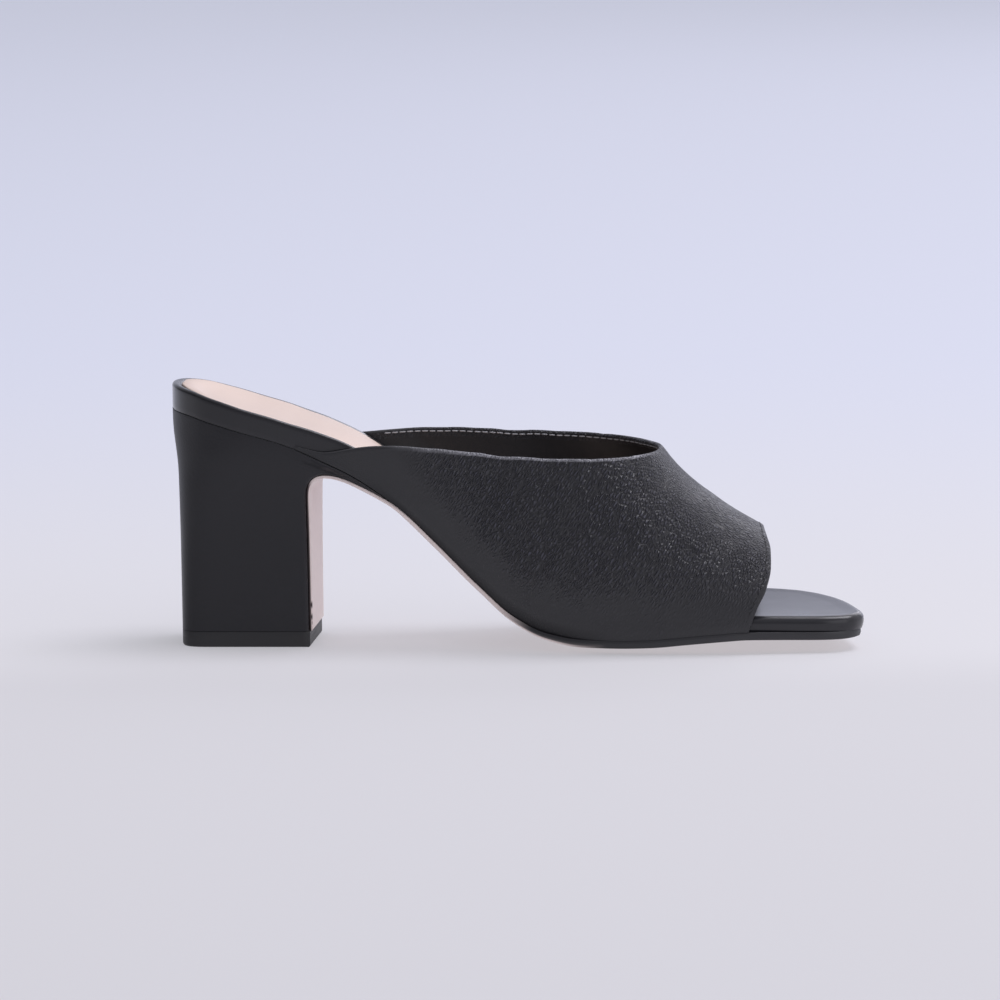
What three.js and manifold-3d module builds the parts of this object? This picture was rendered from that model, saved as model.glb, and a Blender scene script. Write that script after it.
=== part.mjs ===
// Open-toe block-heel mule, left shoe. Millimetres, +X to the toe, +Y to the lateral side, +Z up.
import * as THREE from 'three';
import { mergeVertices } from 'three/addons/utils/BufferGeometryUtils.js';
import Module from 'manifold-3d';

// Named sizes
const LENGTH = 229;
const BALL_WIDTH = 78;
const HEEL_HEIGHT = 78;
const INSTEP_HEIGHT = 60;
const SEAT_WIDTH = 50.5;
const TOE_TUCK = 1.1;
const FOOTBED = 7.6;
const OUTSOLE = 2.4;
const UPPER_WALL = 1.6;
const SOCK = 0.9;
const SOCK_INSET = 2.2;
const SOCK_LENGTH = 142;
const FOOTBED_ROLL = 1.7;
const OUTSOLE_EDGE = 0.7;
const TOP_PIECE_EDGE = 0.5;
const TOP_PIECE = 5.3;
const CLEAR = 0.3;

// The last and footbed. s: share of length from the back. medial, lateral: footbed edges, share of ball
// width.
// seat: footbed underside at its edge, share of heel height. thick: footbed height, share of FOOTBED.
// dish, cup: how far the middle of the underside and of the top lie below the edge, share of FOOTBED.
const BED = [
  { s: 0.0, medial: 0.0, lateral: 0.0, seat: 1.003, thick: 1.08, dish: 0, cup: 0.1 },
  { s: 0.0087, medial: -0.128, lateral: 0.128, seat: 1.0, thick: 1.06, dish: 0, cup: 0.1 },
  { s: 0.03, medial: -0.22, lateral: 0.22, seat: 0.991, thick: 1.0, dish: 0, cup: 0.13 },
  { s: 0.065, medial: -0.292, lateral: 0.29, seat: 0.964, thick: 0.945, dish: 0, cup: 0.16 },
  { s: 0.115, medial: -0.323, lateral: 0.319, seat: 0.923, thick: 0.885, dish: 0, cup: 0.18 },
  { s: 0.17, medial: -0.326, lateral: 0.321, seat: 0.877, thick: 0.865, dish: 0, cup: 0.18 },
  { s: 0.22, medial: -0.321, lateral: 0.318, seat: 0.815, thick: 1.03, dish: 0, cup: 0.16 },
  { s: 0.27, medial: -0.311, lateral: 0.312, seat: 0.743, thick: 1.15, dish: 0, cup: 0.13 },
  { s: 0.325, medial: -0.295, lateral: 0.309, seat: 0.629, thick: 1.19, dish: 0, cup: 0.11 },
  { s: 0.39, medial: -0.285, lateral: 0.309, seat: 0.445, thick: 1.19, dish: 0.06, cup: 0.11 },
  { s: 0.45, medial: -0.294, lateral: 0.333, seat: 0.269, thick: 1.13, dish: 0.13, cup: 0.14 },
  { s: 0.5, medial: -0.324, lateral: 0.377, seat: 0.145, thick: 0.96, dish: 0.19, cup: 0.19 },
  { s: 0.55, medial: -0.368, lateral: 0.429, seat: 0.081, thick: 0.78, dish: 0.24, cup: 0.24 },
  { s: 0.6, medial: -0.409, lateral: 0.473, seat: 0.061, thick: 0.7, dish: 0.28, cup: 0.26 },
  { s: 0.65, medial: -0.432, lateral: 0.505, seat: 0.059, thick: 0.67, dish: 0.285, cup: 0.26 },
  { s: 0.7, medial: -0.444, lateral: 0.52, seat: 0.063, thick: 0.66, dish: 0.265, cup: 0.25 },
  { s: 0.75, medial: -0.447, lateral: 0.519, seat: 0.076, thick: 0.66, dish: 0.22, cup: 0.22 },
  { s: 0.8, medial: -0.443, lateral: 0.499, seat: 0.088, thick: 0.66, dish: 0.18, cup: 0.18 },
  { s: 0.835, medial: -0.436, lateral: 0.475, seat: 0.094, thick: 0.66, dish: 0.15, cup: 0.15 },
  { s: 0.891, medial: -0.418, lateral: 0.42, seat: 0.092, thick: 0.66, dish: 0.1, cup: 0.1 },
  { s: 0.922, medial: -0.406, lateral: 0.347, seat: 0.09, thick: 0.66, dish: 0.08, cup: 0.08 },
  { s: 0.948, medial: -0.395, lateral: 0.24, seat: 0.089, thick: 0.66, dish: 0.06, cup: 0.06 },
  { s: 0.972, medial: -0.374, lateral: 0.085, seat: 0.089, thick: 0.66, dish: 0.04, cup: 0.04 },
  { s: 0.987, medial: -0.344, lateral: -0.065, seat: 0.09, thick: 0.66, dish: 0.02, cup: 0.02 },
  { s: 0.9957, medial: -0.306, lateral: -0.165, seat: 0.091, thick: 0.66, dish: 0.01, cup: 0.01 },
  { s: 1.0, medial: -0.256, lateral: -0.256, seat: 0.092, thick: 0.66, dish: 0, cup: 0 },
];

// The upper over the last. bulge: how far the sides stand out past the feather edge, share of ball width.
// crown: height of the ridge over the feather edge, share of instep height. ridge: its place across, share of
// ball width.
// square, outer: how full the section is on the medial and on the lateral side (2 is an ellipse).
const UPPER = [
  { s: 0.18, bulge: 0.0, crown: 0.889, square: 3.6, outer: 3.6, ridge: 0.0 },
  { s: 0.26, bulge: 0.012, crown: 0.985, square: 3.6, outer: 3.6, ridge: 0.0 },
  { s: 0.34, bulge: 0.03, crown: 1.139, square: 3.6, outer: 3.5, ridge: 0.0 },
  { s: 0.42, bulge: 0.045, crown: 1.369, square: 3.5, outer: 3.4, ridge: -0.02 },
  { s: 0.5, bulge: 0.045, crown: 1.545, square: 3.4, outer: 3.2, ridge: -0.04 },
  { s: 0.535, bulge: 0.041, crown: 1.554, square: 3.307, outer: 3.058, ridge: -0.05 },
  { s: 0.565, bulge: 0.036, crown: 1.52, square: 3.2, outer: 2.9, ridge: -0.06 },
  { s: 0.63, bulge: 0.028, crown: 1.331, square: 2.9, outer: 2.4, ridge: -0.08 },
  { s: 0.68, bulge: 0.022, crown: 1.124, square: 2.6, outer: 2.1, ridge: -0.09 },
  { s: 0.7075, bulge: 0.02, crown: 1, square: 2.45, outer: 2.0, ridge: -0.09 },
  { s: 0.72, bulge: 0.02, crown: 0.933, square: 2.4, outer: 2.0, ridge: -0.09 },
  { s: 0.74, bulge: 0.018, crown: 0.843, square: 2.35, outer: 2.0, ridge: -0.09 },
  { s: 0.76, bulge: 0.016, crown: 0.769, square: 2.3, outer: 2.0, ridge: -0.09 },
  { s: 0.78, bulge: 0.014, crown: 0.706, square: 2.3, outer: 2.0, ridge: -0.09 },
  { s: 0.8, bulge: 0.012, crown: 0.644, square: 2.3, outer: 2.0, ridge: -0.09 },
  { s: 0.825, bulge: 0.01, crown: 0.578, square: 2.3, outer: 2.0, ridge: -0.09 },
  { s: 0.852, bulge: 0.01, crown: 0.519, square: 2.3, outer: 2.0, ridge: -0.09 },
  { s: 0.9, bulge: 0.008, crown: 0.423, square: 2.3, outer: 2.0, ridge: -0.09 },
];

// The topline, from the wing's tip at the back to the throat. top, far: height over the feather edge on
// the medial and the lateral side, share of instep height.
const TOPLINE = [
  { s: 0.187, top: 0.019, far: 0.019 },
  { s: 0.205, top: 0.028, far: 0.028 },
  { s: 0.226, top: 0.047, far: 0.046 },
  { s: 0.24, top: 0.073, far: 0.07 },
  { s: 0.258, top: 0.117, far: 0.11 },
  { s: 0.276, top: 0.166, far: 0.154 },
  { s: 0.3, top: 0.236, far: 0.222 },
  { s: 0.325, top: 0.312, far: 0.302 },
  { s: 0.358, top: 0.423, far: 0.423 },
  { s: 0.41, top: 0.607, far: 0.621 },
  { s: 0.46, top: 0.775, far: 0.796 },
  { s: 0.51, top: 0.909, far: 0.933 },
  { s: 0.535, top: 0.95, far: 0.971 },
  { s: 0.565, top: 0.975, far: 0.994 },
  { s: 0.5925, top: 0.99, far: 1.004 },
  { s: 0.63, top: 0.994, far: 1.003 },
  { s: 0.665, top: 0.998, far: 1 },
  { s: 0.69, top: 1, far: 0.996 },
  { s: 0.7075, top: 1, far: 1 },
];

const wingBack = TOPLINE[0].s;
const throat = TOPLINE[TOPLINE.length - 1].s;

// The vamp's front edge. t: way around the section from medial to lateral feather edge. s: share of length.
const FRONT = [
  { t: 0.0, s: 0.8375 },
  { t: 0.06, s: 0.848 },
  { t: 0.14, s: 0.862 },
  { t: 0.24, s: 0.8682 },
  { t: 0.34, s: 0.8665 },
  { t: 0.43, s: 0.8595 },
  { t: 0.5, s: 0.854 },
  { t: 0.6, s: 0.848 },
  { t: 0.75, s: 0.843 },
  { t: 0.88, s: 0.832 },
  { t: 1.0, s: 0.815 },
];

// The outsole. past: how far its edge stands past the footbed's, share of ball width.
// thick: share of OUTSOLE.
const TREAD = [
  { s: 0.2, past: 0.006, thick: 0.36 },
  { s: 0.24, past: 0.006, thick: 0.4 },
  { s: 0.35, past: 0.006, thick: 0.5 },
  { s: 0.46, past: 0.008, thick: 0.52 },
  { s: 0.53, past: 0.012, thick: 0.78 },
  { s: 0.6, past: 0.018, thick: 1.0 },
  { s: 0.8, past: 0.018, thick: 1.0 },
  { s: 0.86, past: 0.008, thick: 1.0 },
  { s: 0.92, past: 0.003, thick: 1.0 },
  { s: 1.0, past: 0.003, thick: 1.0 },
];

// Inner line of the outsole under the heel's lip and round into the breast: shares of length and heel height.
const LIP = [
  { s: 0.325, z: 0.622 },
  { s: 0.31, z: 0.648 },
  { s: 0.296, z: 0.671 },
  { s: 0.28, z: 0.696 },
  { s: 0.2655, z: 0.7155 },
  { s: 0.252, z: 0.7285 },
  { s: 0.24, z: 0.736 },
  { s: 0.2285, z: 0.738 },
  { s: 0.219, z: 0.7335 },
  { s: 0.2115, z: 0.722 },
  { s: 0.206, z: 0.703 },
  { s: 0.2025, z: 0.676 },
  { s: 0.2017, z: 0.64 },
  { s: 0.2017, z: 0.55 },
  { s: 0.2017, z: 0.44 },
  { s: 0.2017, z: 0.33 },
  { s: 0.2017, z: 0.22 },
];

// The heel block by height. z: share of heel height. back: its back line in from the rear, share of length.
// half: half width at the breast, round: length of the rounded back, shares of seat width.
const HEEL = [
  { z: 0.0, back: 0.012, half: 0.352, round: 0.25, square: 4.0 },
  { z: 0.16, back: 0.0118, half: 0.358, round: 0.26, square: 3.9 },
  { z: 0.32, back: 0.0114, half: 0.368, round: 0.28, square: 3.7 },
  { z: 0.48, back: 0.0107, half: 0.385, round: 0.31, square: 3.35 },
  { z: 0.64, back: 0.0093, half: 0.42, round: 0.36, square: 2.85 },
  { z: 0.74, back: 0.0078, half: 0.455, round: 0.42, square: 2.45 },
  { z: 0.85, back: 0.0054, half: 0.488, round: 0.47, square: 2.15 },
  { z: 0.95, back: 0.0025, half: 0.504, round: 0.5, square: 2.0 },
  { z: 1.05, back: 0, half: 0.508, round: 0.5, square: 2.0 },
];

const toX = (s) => (s - 0.5) * LENGTH;
const toS = (x) => x / LENGTH + 0.5;
const bend = (s) => Math.asin(Math.sqrt(Math.min(1, Math.max(0, s)))) / (Math.PI / 2);
const unbend = (g) => Math.sin((Math.PI / 2) * g) ** 2;
const mix = (a, b, f) => a + (b - a) * f;
const smooth = (f) => {
  const c = Math.min(1, Math.max(0, f));
  return c * c * (3 - 2 * c);
};

// Monotone cubic through a table: key is the column that runs, col the column that is read.
function curve(table, key, col, warp = (v) => v) {
  const rows = table.map((r) => [warp(r[key]), r[col]]).sort((p, q) => p[0] - q[0]);
  const n = rows.length;
  const h = [];
  const d = [];
  for (let i = 0; i < n - 1; i += 1) {
    h.push(rows[i + 1][0] - rows[i][0]);
    d.push((rows[i + 1][1] - rows[i][1]) / h[i]);
  }
  const m = rows.map((r, i) => {
    if (i === 0) return d[0];
    if (i === n - 1) return d[n - 2];
    if (d[i - 1] * d[i] <= 0) return 0;
    const w1 = 2 * h[i] + h[i - 1];
    const w2 = h[i] + 2 * h[i - 1];
    return (w1 + w2) / (w1 / d[i - 1] + w2 / d[i]);
  });
  return (value) => {
    const v = warp(value);
    if (v <= rows[0][0]) return rows[0][1];
    if (v >= rows[n - 1][0]) return rows[n - 1][1];
    let i = 0;
    while (v > rows[i + 1][0]) i += 1;
    const f = (v - rows[i][0]) / h[i];
    const a = (1 + 2 * f) * (1 - f) ** 2;
    const b = f * (1 - f) ** 2;
    const c = f * f * (3 - 2 * f);
    const e = f * f * (f - 1);
    return a * rows[i][1] + b * h[i] * m[i] + c * rows[i + 1][1] + e * h[i] * m[i + 1];
  };
}

const bed = {
  medial: curve(BED, 's', 'medial', bend),
  lateral: curve(BED, 's', 'lateral', bend),
  seat: curve(BED, 's', 'seat'),
  thick: curve(BED, 's', 'thick'),
  dish: curve(BED, 's', 'dish'),
  cup: curve(BED, 's', 'cup'),
};

// Stations shared by every piece that lies on the footbed, so that their facets fall together.
const STATION_COUNT = 54;
const FIRST = 0.02;
const LAST = 0.985;
const atStation = (_, i) => unbend(mix(FIRST, LAST, i / STATION_COUNT));
const STATIONS = Array.from({ length: STATION_COUNT + 1 }, atStation);
const seatAt = (s) => {
  const g = ((bend(s) - FIRST) / (LAST - FIRST)) * STATION_COUNT;
  const i = Math.min(STATION_COUNT - 1, Math.max(0, Math.floor(g)));
  const f = Math.min(1, Math.max(0, (s - STATIONS[i]) / (STATIONS[i + 1] - STATIONS[i])));
  return mix(bed.seat(STATIONS[i]), bed.seat(STATIONS[i + 1]), f) * HEEL_HEIGHT;
};
const medialEdge = (s) => bed.medial(s) * BALL_WIDTH;
const lateralEdge = (s) => bed.lateral(s) * BALL_WIDTH;

// How far out a point lies: 0 on the middle line, 1 at the edge.
function across(s, y) {
  const a = medialEdge(s);
  const b = lateralEdge(s);
  const half = Math.max(1, (b - a) / 2);
  return Math.min(1, Math.abs(y - (a + b) / 2) / half);
}
const underZ = (x, y) => {
  const s = toS(x);
  return seatAt(s) - bed.dish(s) * FOOTBED * (1 - across(s, y) ** 2);
};
const topZ = (x, y) => {
  const s = toS(x);
  const edge = seatAt(s) + bed.thick(s) * FOOTBED;
  return edge - bed.cup(s) * FOOTBED * (1 - across(s, y) ** 2);
};

// A closed loop from stations: medial side from the back to the toe, lateral side on the way home.
function loopOf(stations) {
  const medial = stations.map((st) => [st.q, st.a]);
  const lateral = stations.map((st) => [st.q, st.b]).reverse();
  return medial.concat(lateral);
}

// The loop moved inwards by a distance, along the mean normal of its two sides at each point.
function inset(loop, distance) {
  const n = loop.length;
  return loop.map((p, i) => {
    const before = loop[(i + n - 1) % n];
    const after = loop[(i + 1) % n];
    const tx = after[0] - before[0];
    const ty = after[1] - before[1];
    const len = Math.hypot(tx, ty) || 1;
    return [p[0] - (ty / len) * distance, p[1] + (tx / len) * distance];
  });
}

// A pad: a loop carried through layers (inset, depth) and closed by rings that close on its middle line.
function pad(loop, layers, place, spine, fills) {
  const n = loop.length;
  const rings = [];
  const first = inset(loop, layers[0].inset);
  const last = inset(loop, layers[layers.length - 1].inset);
  const toSpine = (ring, f) => ring.map((p, i) => {
    const c = spine((p[0] + ring[n - 1 - i][0]) / 2);
    return [mix(p[0], c[0], f), mix(p[1], c[1], f)];
  });
  [...fills].reverse().forEach((f) => rings.push(toSpine(first, f).map((p) => place(p, layers[0].depth))));
  layers.forEach((layer) => rings.push(inset(loop, layer.inset).map((p) => place(p, layer.depth))));
  const end = layers[layers.length - 1].depth;
  fills.forEach((f) => rings.push(toSpine(last, f).map((p) => place(p, end))));
  const verts = rings.flat(2);
  const tris = [];
  for (let r = 0; r < rings.length - 1; r += 1) {
    for (let i = 0; i < n; i += 1) {
      const j = (i + 1) % n;
      const a = r * n + i;
      const b = r * n + j;
      const c = (r + 1) * n + i;
      const d = (r + 1) * n + j;
      tris.push(a, b, d, a, d, c);
    }
  }
  return solid(verts, tris);
}

// Merged, oriented and stripped of slivers.
function solid(verts, tris) {
  let geo = new THREE.BufferGeometry();
  geo.setAttribute('position', new THREE.Float32BufferAttribute(verts, 3));
  geo.setIndex(tris);
  geo = mergeVertices(geo, 1e-3);
  const index = geo.getIndex().array;
  const kept = [];
  for (let i = 0; i < index.length; i += 3) {
    const [a, b, c] = [index[i], index[i + 1], index[i + 2]];
    if (a !== b && b !== c && a !== c) kept.push(a, b, c);
  }
  geo.setIndex(kept);
  const pos = geo.getAttribute('position');
  let volume = 0;
  const [p, q, r] = [new THREE.Vector3(), new THREE.Vector3(), new THREE.Vector3()];
  for (let i = 0; i < kept.length; i += 3) {
    p.fromBufferAttribute(pos, kept[i]);
    q.fromBufferAttribute(pos, kept[i + 1]);
    r.fromBufferAttribute(pos, kept[i + 2]);
    volume += p.dot(q.clone().cross(r));
  }
  if (volume < 0) {
    for (let i = 0; i < kept.length; i += 3) {
      const swap = kept[i + 1];
      kept[i + 1] = kept[i + 2];
      kept[i + 2] = swap;
    }
    geo.setIndex(kept);
  }
  return geo;
}

// Footbed: a board wrapped in leather, its upper edge rolled.
function footbed() {
  const stations = STATIONS.map((s) => ({ q: toX(s), a: medialEdge(s), b: lateralEdge(s) }));
  const ends = [toX(0.1), toX(0.93)];
  const spine = (x) => {
    const cx = Math.min(ends[1], Math.max(ends[0], x));
    return [cx, (medialEdge(toS(cx)) + lateralEdge(toS(cx))) / 2];
  };
  const layers = [
    { inset: 0.53 * FOOTBED_ROLL, depth: 0 },
    { inset: 0.15 * FOOTBED_ROLL, depth: 0.06 },
    { inset: 0, depth: 0.16 },
    { inset: 0, depth: 0.74 },
    { inset: 0.265 * FOOTBED_ROLL, depth: 0.9 },
    { inset: FOOTBED_ROLL, depth: 1 },
  ];
  const place = (p, depth) => {
    const low = underZ(p[0], p[1]);
    const high = topZ(p[0], p[1]);
    return [p[0], p[1], mix(low, high, depth)];
  };
  return pad(loopOf(stations), layers, place, spine, [0.3, 0.65, 1]);
}

// Sock lining: from the heel to under the vamp, lying in the footbed.
function sockLining() {
  const used = STATIONS.filter((s) => s * LENGTH < SOCK_LENGTH);
  const count = used.length - 1;
  const stations = used.map((s) => ({ q: toX(s), a: medialEdge(s), b: lateralEdge(s) }));
  const flat = loopOf(stations);
  const moved = inset(flat, SOCK_INSET);
  const loop = moved.map((p, i) => (i === count || i === count + 1 ? [flat[i][0], moved[i][1]] : p));
  const ends = [toX(0.1), toX(used[count])];
  const spine = (x) => {
    const cx = Math.min(ends[1], Math.max(ends[0], x));
    return [cx, (medialEdge(toS(cx)) + lateralEdge(toS(cx))) / 2];
  };
  const layers = [
    { inset: 0.0, depth: 0 },
    { inset: 0.0, depth: 0.6 },
    { inset: 0.4 * SOCK, depth: 1 },
  ];
  const place = (p, depth) => [p[0], p[1], topZ(p[0], p[1]) + CLEAR + depth * (SOCK - CLEAR)];
  return pad(loop, layers, place, spine, [0.3, 0.65, 1]);
}

// The path of the outsole's inner face in side view, from the toe, along the waist and down the breast.
function outsolePath() {
  const points = [];
  const used = STATIONS.filter((s) => s > 0.335).reverse();
  used.forEach((s) => points.push([toX(s) - TOE_TUCK * smooth((s - 0.9) / 0.1), seatAt(s) - CLEAR, s]));
  LIP.forEach((row) => points.push([toX(row.s), row.z * HEEL_HEIGHT, row.s]));
  points.push([toX(LIP[LIP.length - 1].s), TOP_PIECE, LIP[LIP.length - 1].s]);
  return points;
}

// Outsole: one strip bent along that path.
const heelHalf = curve(HEEL, 'z', 'half');
const solePast = curve(TREAD, 's', 'past');
function soleEdge(s, z, side) {
  const breast = heelHalf(z / HEEL_HEIGHT) * SEAT_WIDTH - CLEAR;
  const waist = (side < 0 ? -medialEdge(s) : lateralEdge(s)) + solePast(s) * BALL_WIDTH;
  return side * mix(breast, waist, smooth((s - 0.225) / 0.06));
}
function outsole() {
  const path = outsolePath();
  const n = path.length;
  const thick = curve(TREAD, 's', 'thick');
  const lengths = [0];
  for (let i = 1; i < n; i += 1) {
    const step = Math.hypot(path[i][0] - path[i - 1][0], path[i][1] - path[i - 1][1]);
    lengths.push(lengths[i - 1] + step);
  }
  const total = lengths[n - 1];
  const normals = path.map((p, i) => {
    const before = path[Math.max(0, i - 1)];
    const after = path[Math.min(n - 1, i + 1)];
    const tx = after[0] - before[0];
    const tz = after[1] - before[1];
    const len = Math.hypot(tx, tz);
    return [-tz / len, tx / len];
  });
  normals[n - 1] = [1, 0];
  const stations = path.map((p, i) => {
    return { q: total - lengths[i], a: soleEdge(p[2], p[1], -1), b: soleEdge(p[2], p[1], 1) };
  }).reverse();
  const at = (q) => {
    const run = Math.min(total, Math.max(0, total - q));
    let i = 0;
    while (i < n - 2 && run > lengths[i + 1]) i += 1;
    const f = (run - lengths[i]) / (lengths[i + 1] - lengths[i]);
    const x = mix(path[i][0], path[i + 1][0], f);
    const z = mix(path[i][1], path[i + 1][1], f);
    const nx = mix(normals[i][0], normals[i + 1][0], f);
    const nz = mix(normals[i][1], normals[i + 1][1], f);
    const len = Math.hypot(nx, nz);
    const s = mix(path[i][2], path[i + 1][2], f);
    return { x, z, s, nx: nx / len, nz: nz / len };
  };
  const place = (p, depth) => {
    const c = at(p[0]);
    const { s } = c;
    const sink = bed.dish(s) * FOOTBED * (1 - across(s, p[1]) ** 2);
    const t = thick(s) * OUTSOLE * depth;
    const z = c.z - sink + c.nz * t;
    return [c.x + c.nx * t, p[1], Math.max(0, z)];
  };
  const loop = loopOf(stations);
  const spineEnds = [0, total - 0.28 * SEAT_WIDTH];
  const spine = (q) => {
    const cq = Math.min(spineEnds[1], Math.max(spineEnds[0], q));
    const { s } = at(cq);
    const flat = s < 0.26 ? 0 : (medialEdge(s) + lateralEdge(s)) / 2;
    return [cq, flat];
  };
  const layers = [
    { inset: 0.0, depth: 0 },
    { inset: 0.0, depth: 0.6 },
    { inset: OUTSOLE_EDGE, depth: 1 },
  ];
  const squareEnd = (ring) => ring.map((p) => (p[0] < OUTSOLE / 3 ? [0, p[1]] : p));
  const placed = (p, depth) => place(squareEnd([p])[0], depth);
  return pad(loop, layers, placed, spine, [0.4, 0.75, 1]);
}

// The upper's outer face: a point at share s, way t around the section.
const upper = {
  bulge: curve(UPPER, 's', 'bulge'),
  crown: curve(UPPER, 's', 'crown'),
  square: curve(UPPER, 's', 'square'),
  outer: curve(UPPER, 's', 'outer'),
  ridge: curve(UPPER, 's', 'ridge'),
};
function skin(s, t) {
  const angle = Math.PI * t;
  const power = 2 / (t > 0.5 ? upper.outer(s) : upper.square(s));
  const c = Math.sign(Math.cos(angle)) * Math.abs(Math.cos(angle)) ** power;
  const up = Math.abs(Math.sin(angle)) ** power;
  const low = seatAt(s);
  const z = low + upper.crown(s) * INSTEP_HEIGHT * up;
  const ridge = upper.ridge(s) * BALL_WIDTH;
  const past = CLEAR + UPPER_WALL;
  const rise = smooth((z - low) / (0.35 * INSTEP_HEIGHT));
  const swell = upper.bulge(s) * BALL_WIDTH * rise;
  const edge = c > 0 ? ridge - (medialEdge(s) - past - swell) : lateralEdge(s) + past + swell - ridge;
  return new THREE.Vector3(toX(s), ridge - c * edge, z);
}

// The upper: one hollow wall between topline, front edge and feather edges.
function upperShell() {
  const around = 40;
  const along = 24;
  const top = curve(TOPLINE, 's', 'top');
  const far = curve(TOPLINE, 's', 'far');
  const front = curve(FRONT, 't', 's');
  const topT = (s, side) => {
    const goal = seatAt(s) + (side < 0 ? top(s) : far(s)) * INSTEP_HEIGHT;
    let lowT = 0;
    let highT = 0.5;
    for (let k = 0; k < 40; k += 1) {
      const mid = (lowT + highT) / 2;
      if (skin(s, side < 0 ? mid : 1 - mid).z < goal) lowT = mid;
      else highT = mid;
    }
    return (lowT + highT) / 2;
  };
  const param = (u, v) => {
    const side = u <= 0.5 ? -1 : 1;
    const w = u <= 0.5 ? u * 2 : (1 - u) * 2;
    const run = Math.sin((Math.PI / 2) * w) ** 1.15;
    const sTop = mix(wingBack, throat, run);
    const tTop = w === 0 ? 0 : topT(sTop, side);
    const t0 = side < 0 ? tTop : 1 - tTop;
    return [mix(sTop, front(u), v), mix(w >= 1 ? 0.5 : t0, u, v)];
  };
  const outer = [];
  const inner = [];
  const step = 1e-4;
  for (let j = 0; j <= along; j += 1) {
    for (let i = 0; i <= around; i += 1) {
      const [s, t] = param(i / around, j / along);
      const p = skin(s, t);
      const tc = Math.min(1 - 2 * step, Math.max(2 * step, t));
      const ds = skin(s + step, tc).sub(skin(s - step, tc));
      const dt = skin(s, tc + step).sub(skin(s, tc - step));
      const normal = dt.cross(ds).normalize();
      const centre = new THREE.Vector3(p.x, 0, seatAt(s) + 0.15 * INSTEP_HEIGHT);
      if (normal.dot(p.clone().sub(centre)) < 0) normal.negate();
      outer.push(p);
      const q = p.clone().addScaledVector(normal, -UPPER_WALL);
      if (i === 0 || i === around) {
        const edge = i === 0 ? medialEdge(s) - CLEAR : lateralEdge(s) + CLEAR;
        q.set(p.x, edge, p.z);
      }
      inner.push(q);
    }
  }
  const verts = outer.concat(inner).flatMap((p) => [p.x, p.y, p.z]);
  const row = around + 1;
  const half = outer.length;
  const tris = [];
  const quad = (a, b, c, d) => tris.push(a, b, c, a, c, d);
  for (let j = 0; j < along; j += 1) {
    for (let i = 0; i < around; i += 1) {
      const a = j * row + i;
      quad(a, a + 1, a + row + 1, a + row);
      quad(half + a, half + a + row, half + a + row + 1, half + a + 1);
    }
    const l = j * row;
    const r = j * row + around;
    quad(l, l + row, half + l + row, half + l);
    quad(r, half + r, half + r + row, r + row);
  }
  for (let i = 0; i < around; i += 1) {
    const e = along * row + i;
    quad(i, half + i, half + i + 1, i + 1);
    quad(e, e + 1, half + e + 1, half + e);
  }
  return solid(verts, tris);
}

// Heel outline at a height: half width of the block, blended into the seat and the wings above.
const heelBack = curve(HEEL, 'z', 'back');
const heelRear = (h) => toX(heelBack(h)) + CLEAR / 6;
const heelRound = curve(HEEL, 'z', 'round');
const heelSquare = curve(HEEL, 'z', 'square');
const lipLine = curve(LIP.filter((row) => row.s > 0.202), 's', 'z');
function heelEdge(x, z, side) {
  const h = z / HEEL_HEIGHT;
  const back = toX(heelBack(h));
  const round = heelRound(h) * SEAT_WIDTH;
  const into = Math.min(1, Math.max(0, (back + round - x) / round));
  const block = heelHalf(h) * SEAT_WIDTH * (1 - into ** heelSquare(h)) ** (1 / heelSquare(h));
  const s = Math.max(0.0005, toS(x));
  const under = smooth((s - 0.17) / 0.05) * (CLEAR + UPPER_WALL);
  const seat = (side < 0 ? -medialEdge(s) : lateralEdge(s)) + under;
  const plain = mix(block, seat, smooth((h - 0.8) / 0.12));
  const lipZ = lipLine(s) * HEEL_HEIGHT;
  const under0 = Math.abs(soleEdge(s, Math.min(z, lipZ), side)) + CLEAR;
  const lip = mix(under0, seat, smooth((z - lipZ) / Math.max(1, seatAt(s) - lipZ)));
  return side * mix(plain, lip, smooth((s - 0.185) / 0.035));
}

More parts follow.
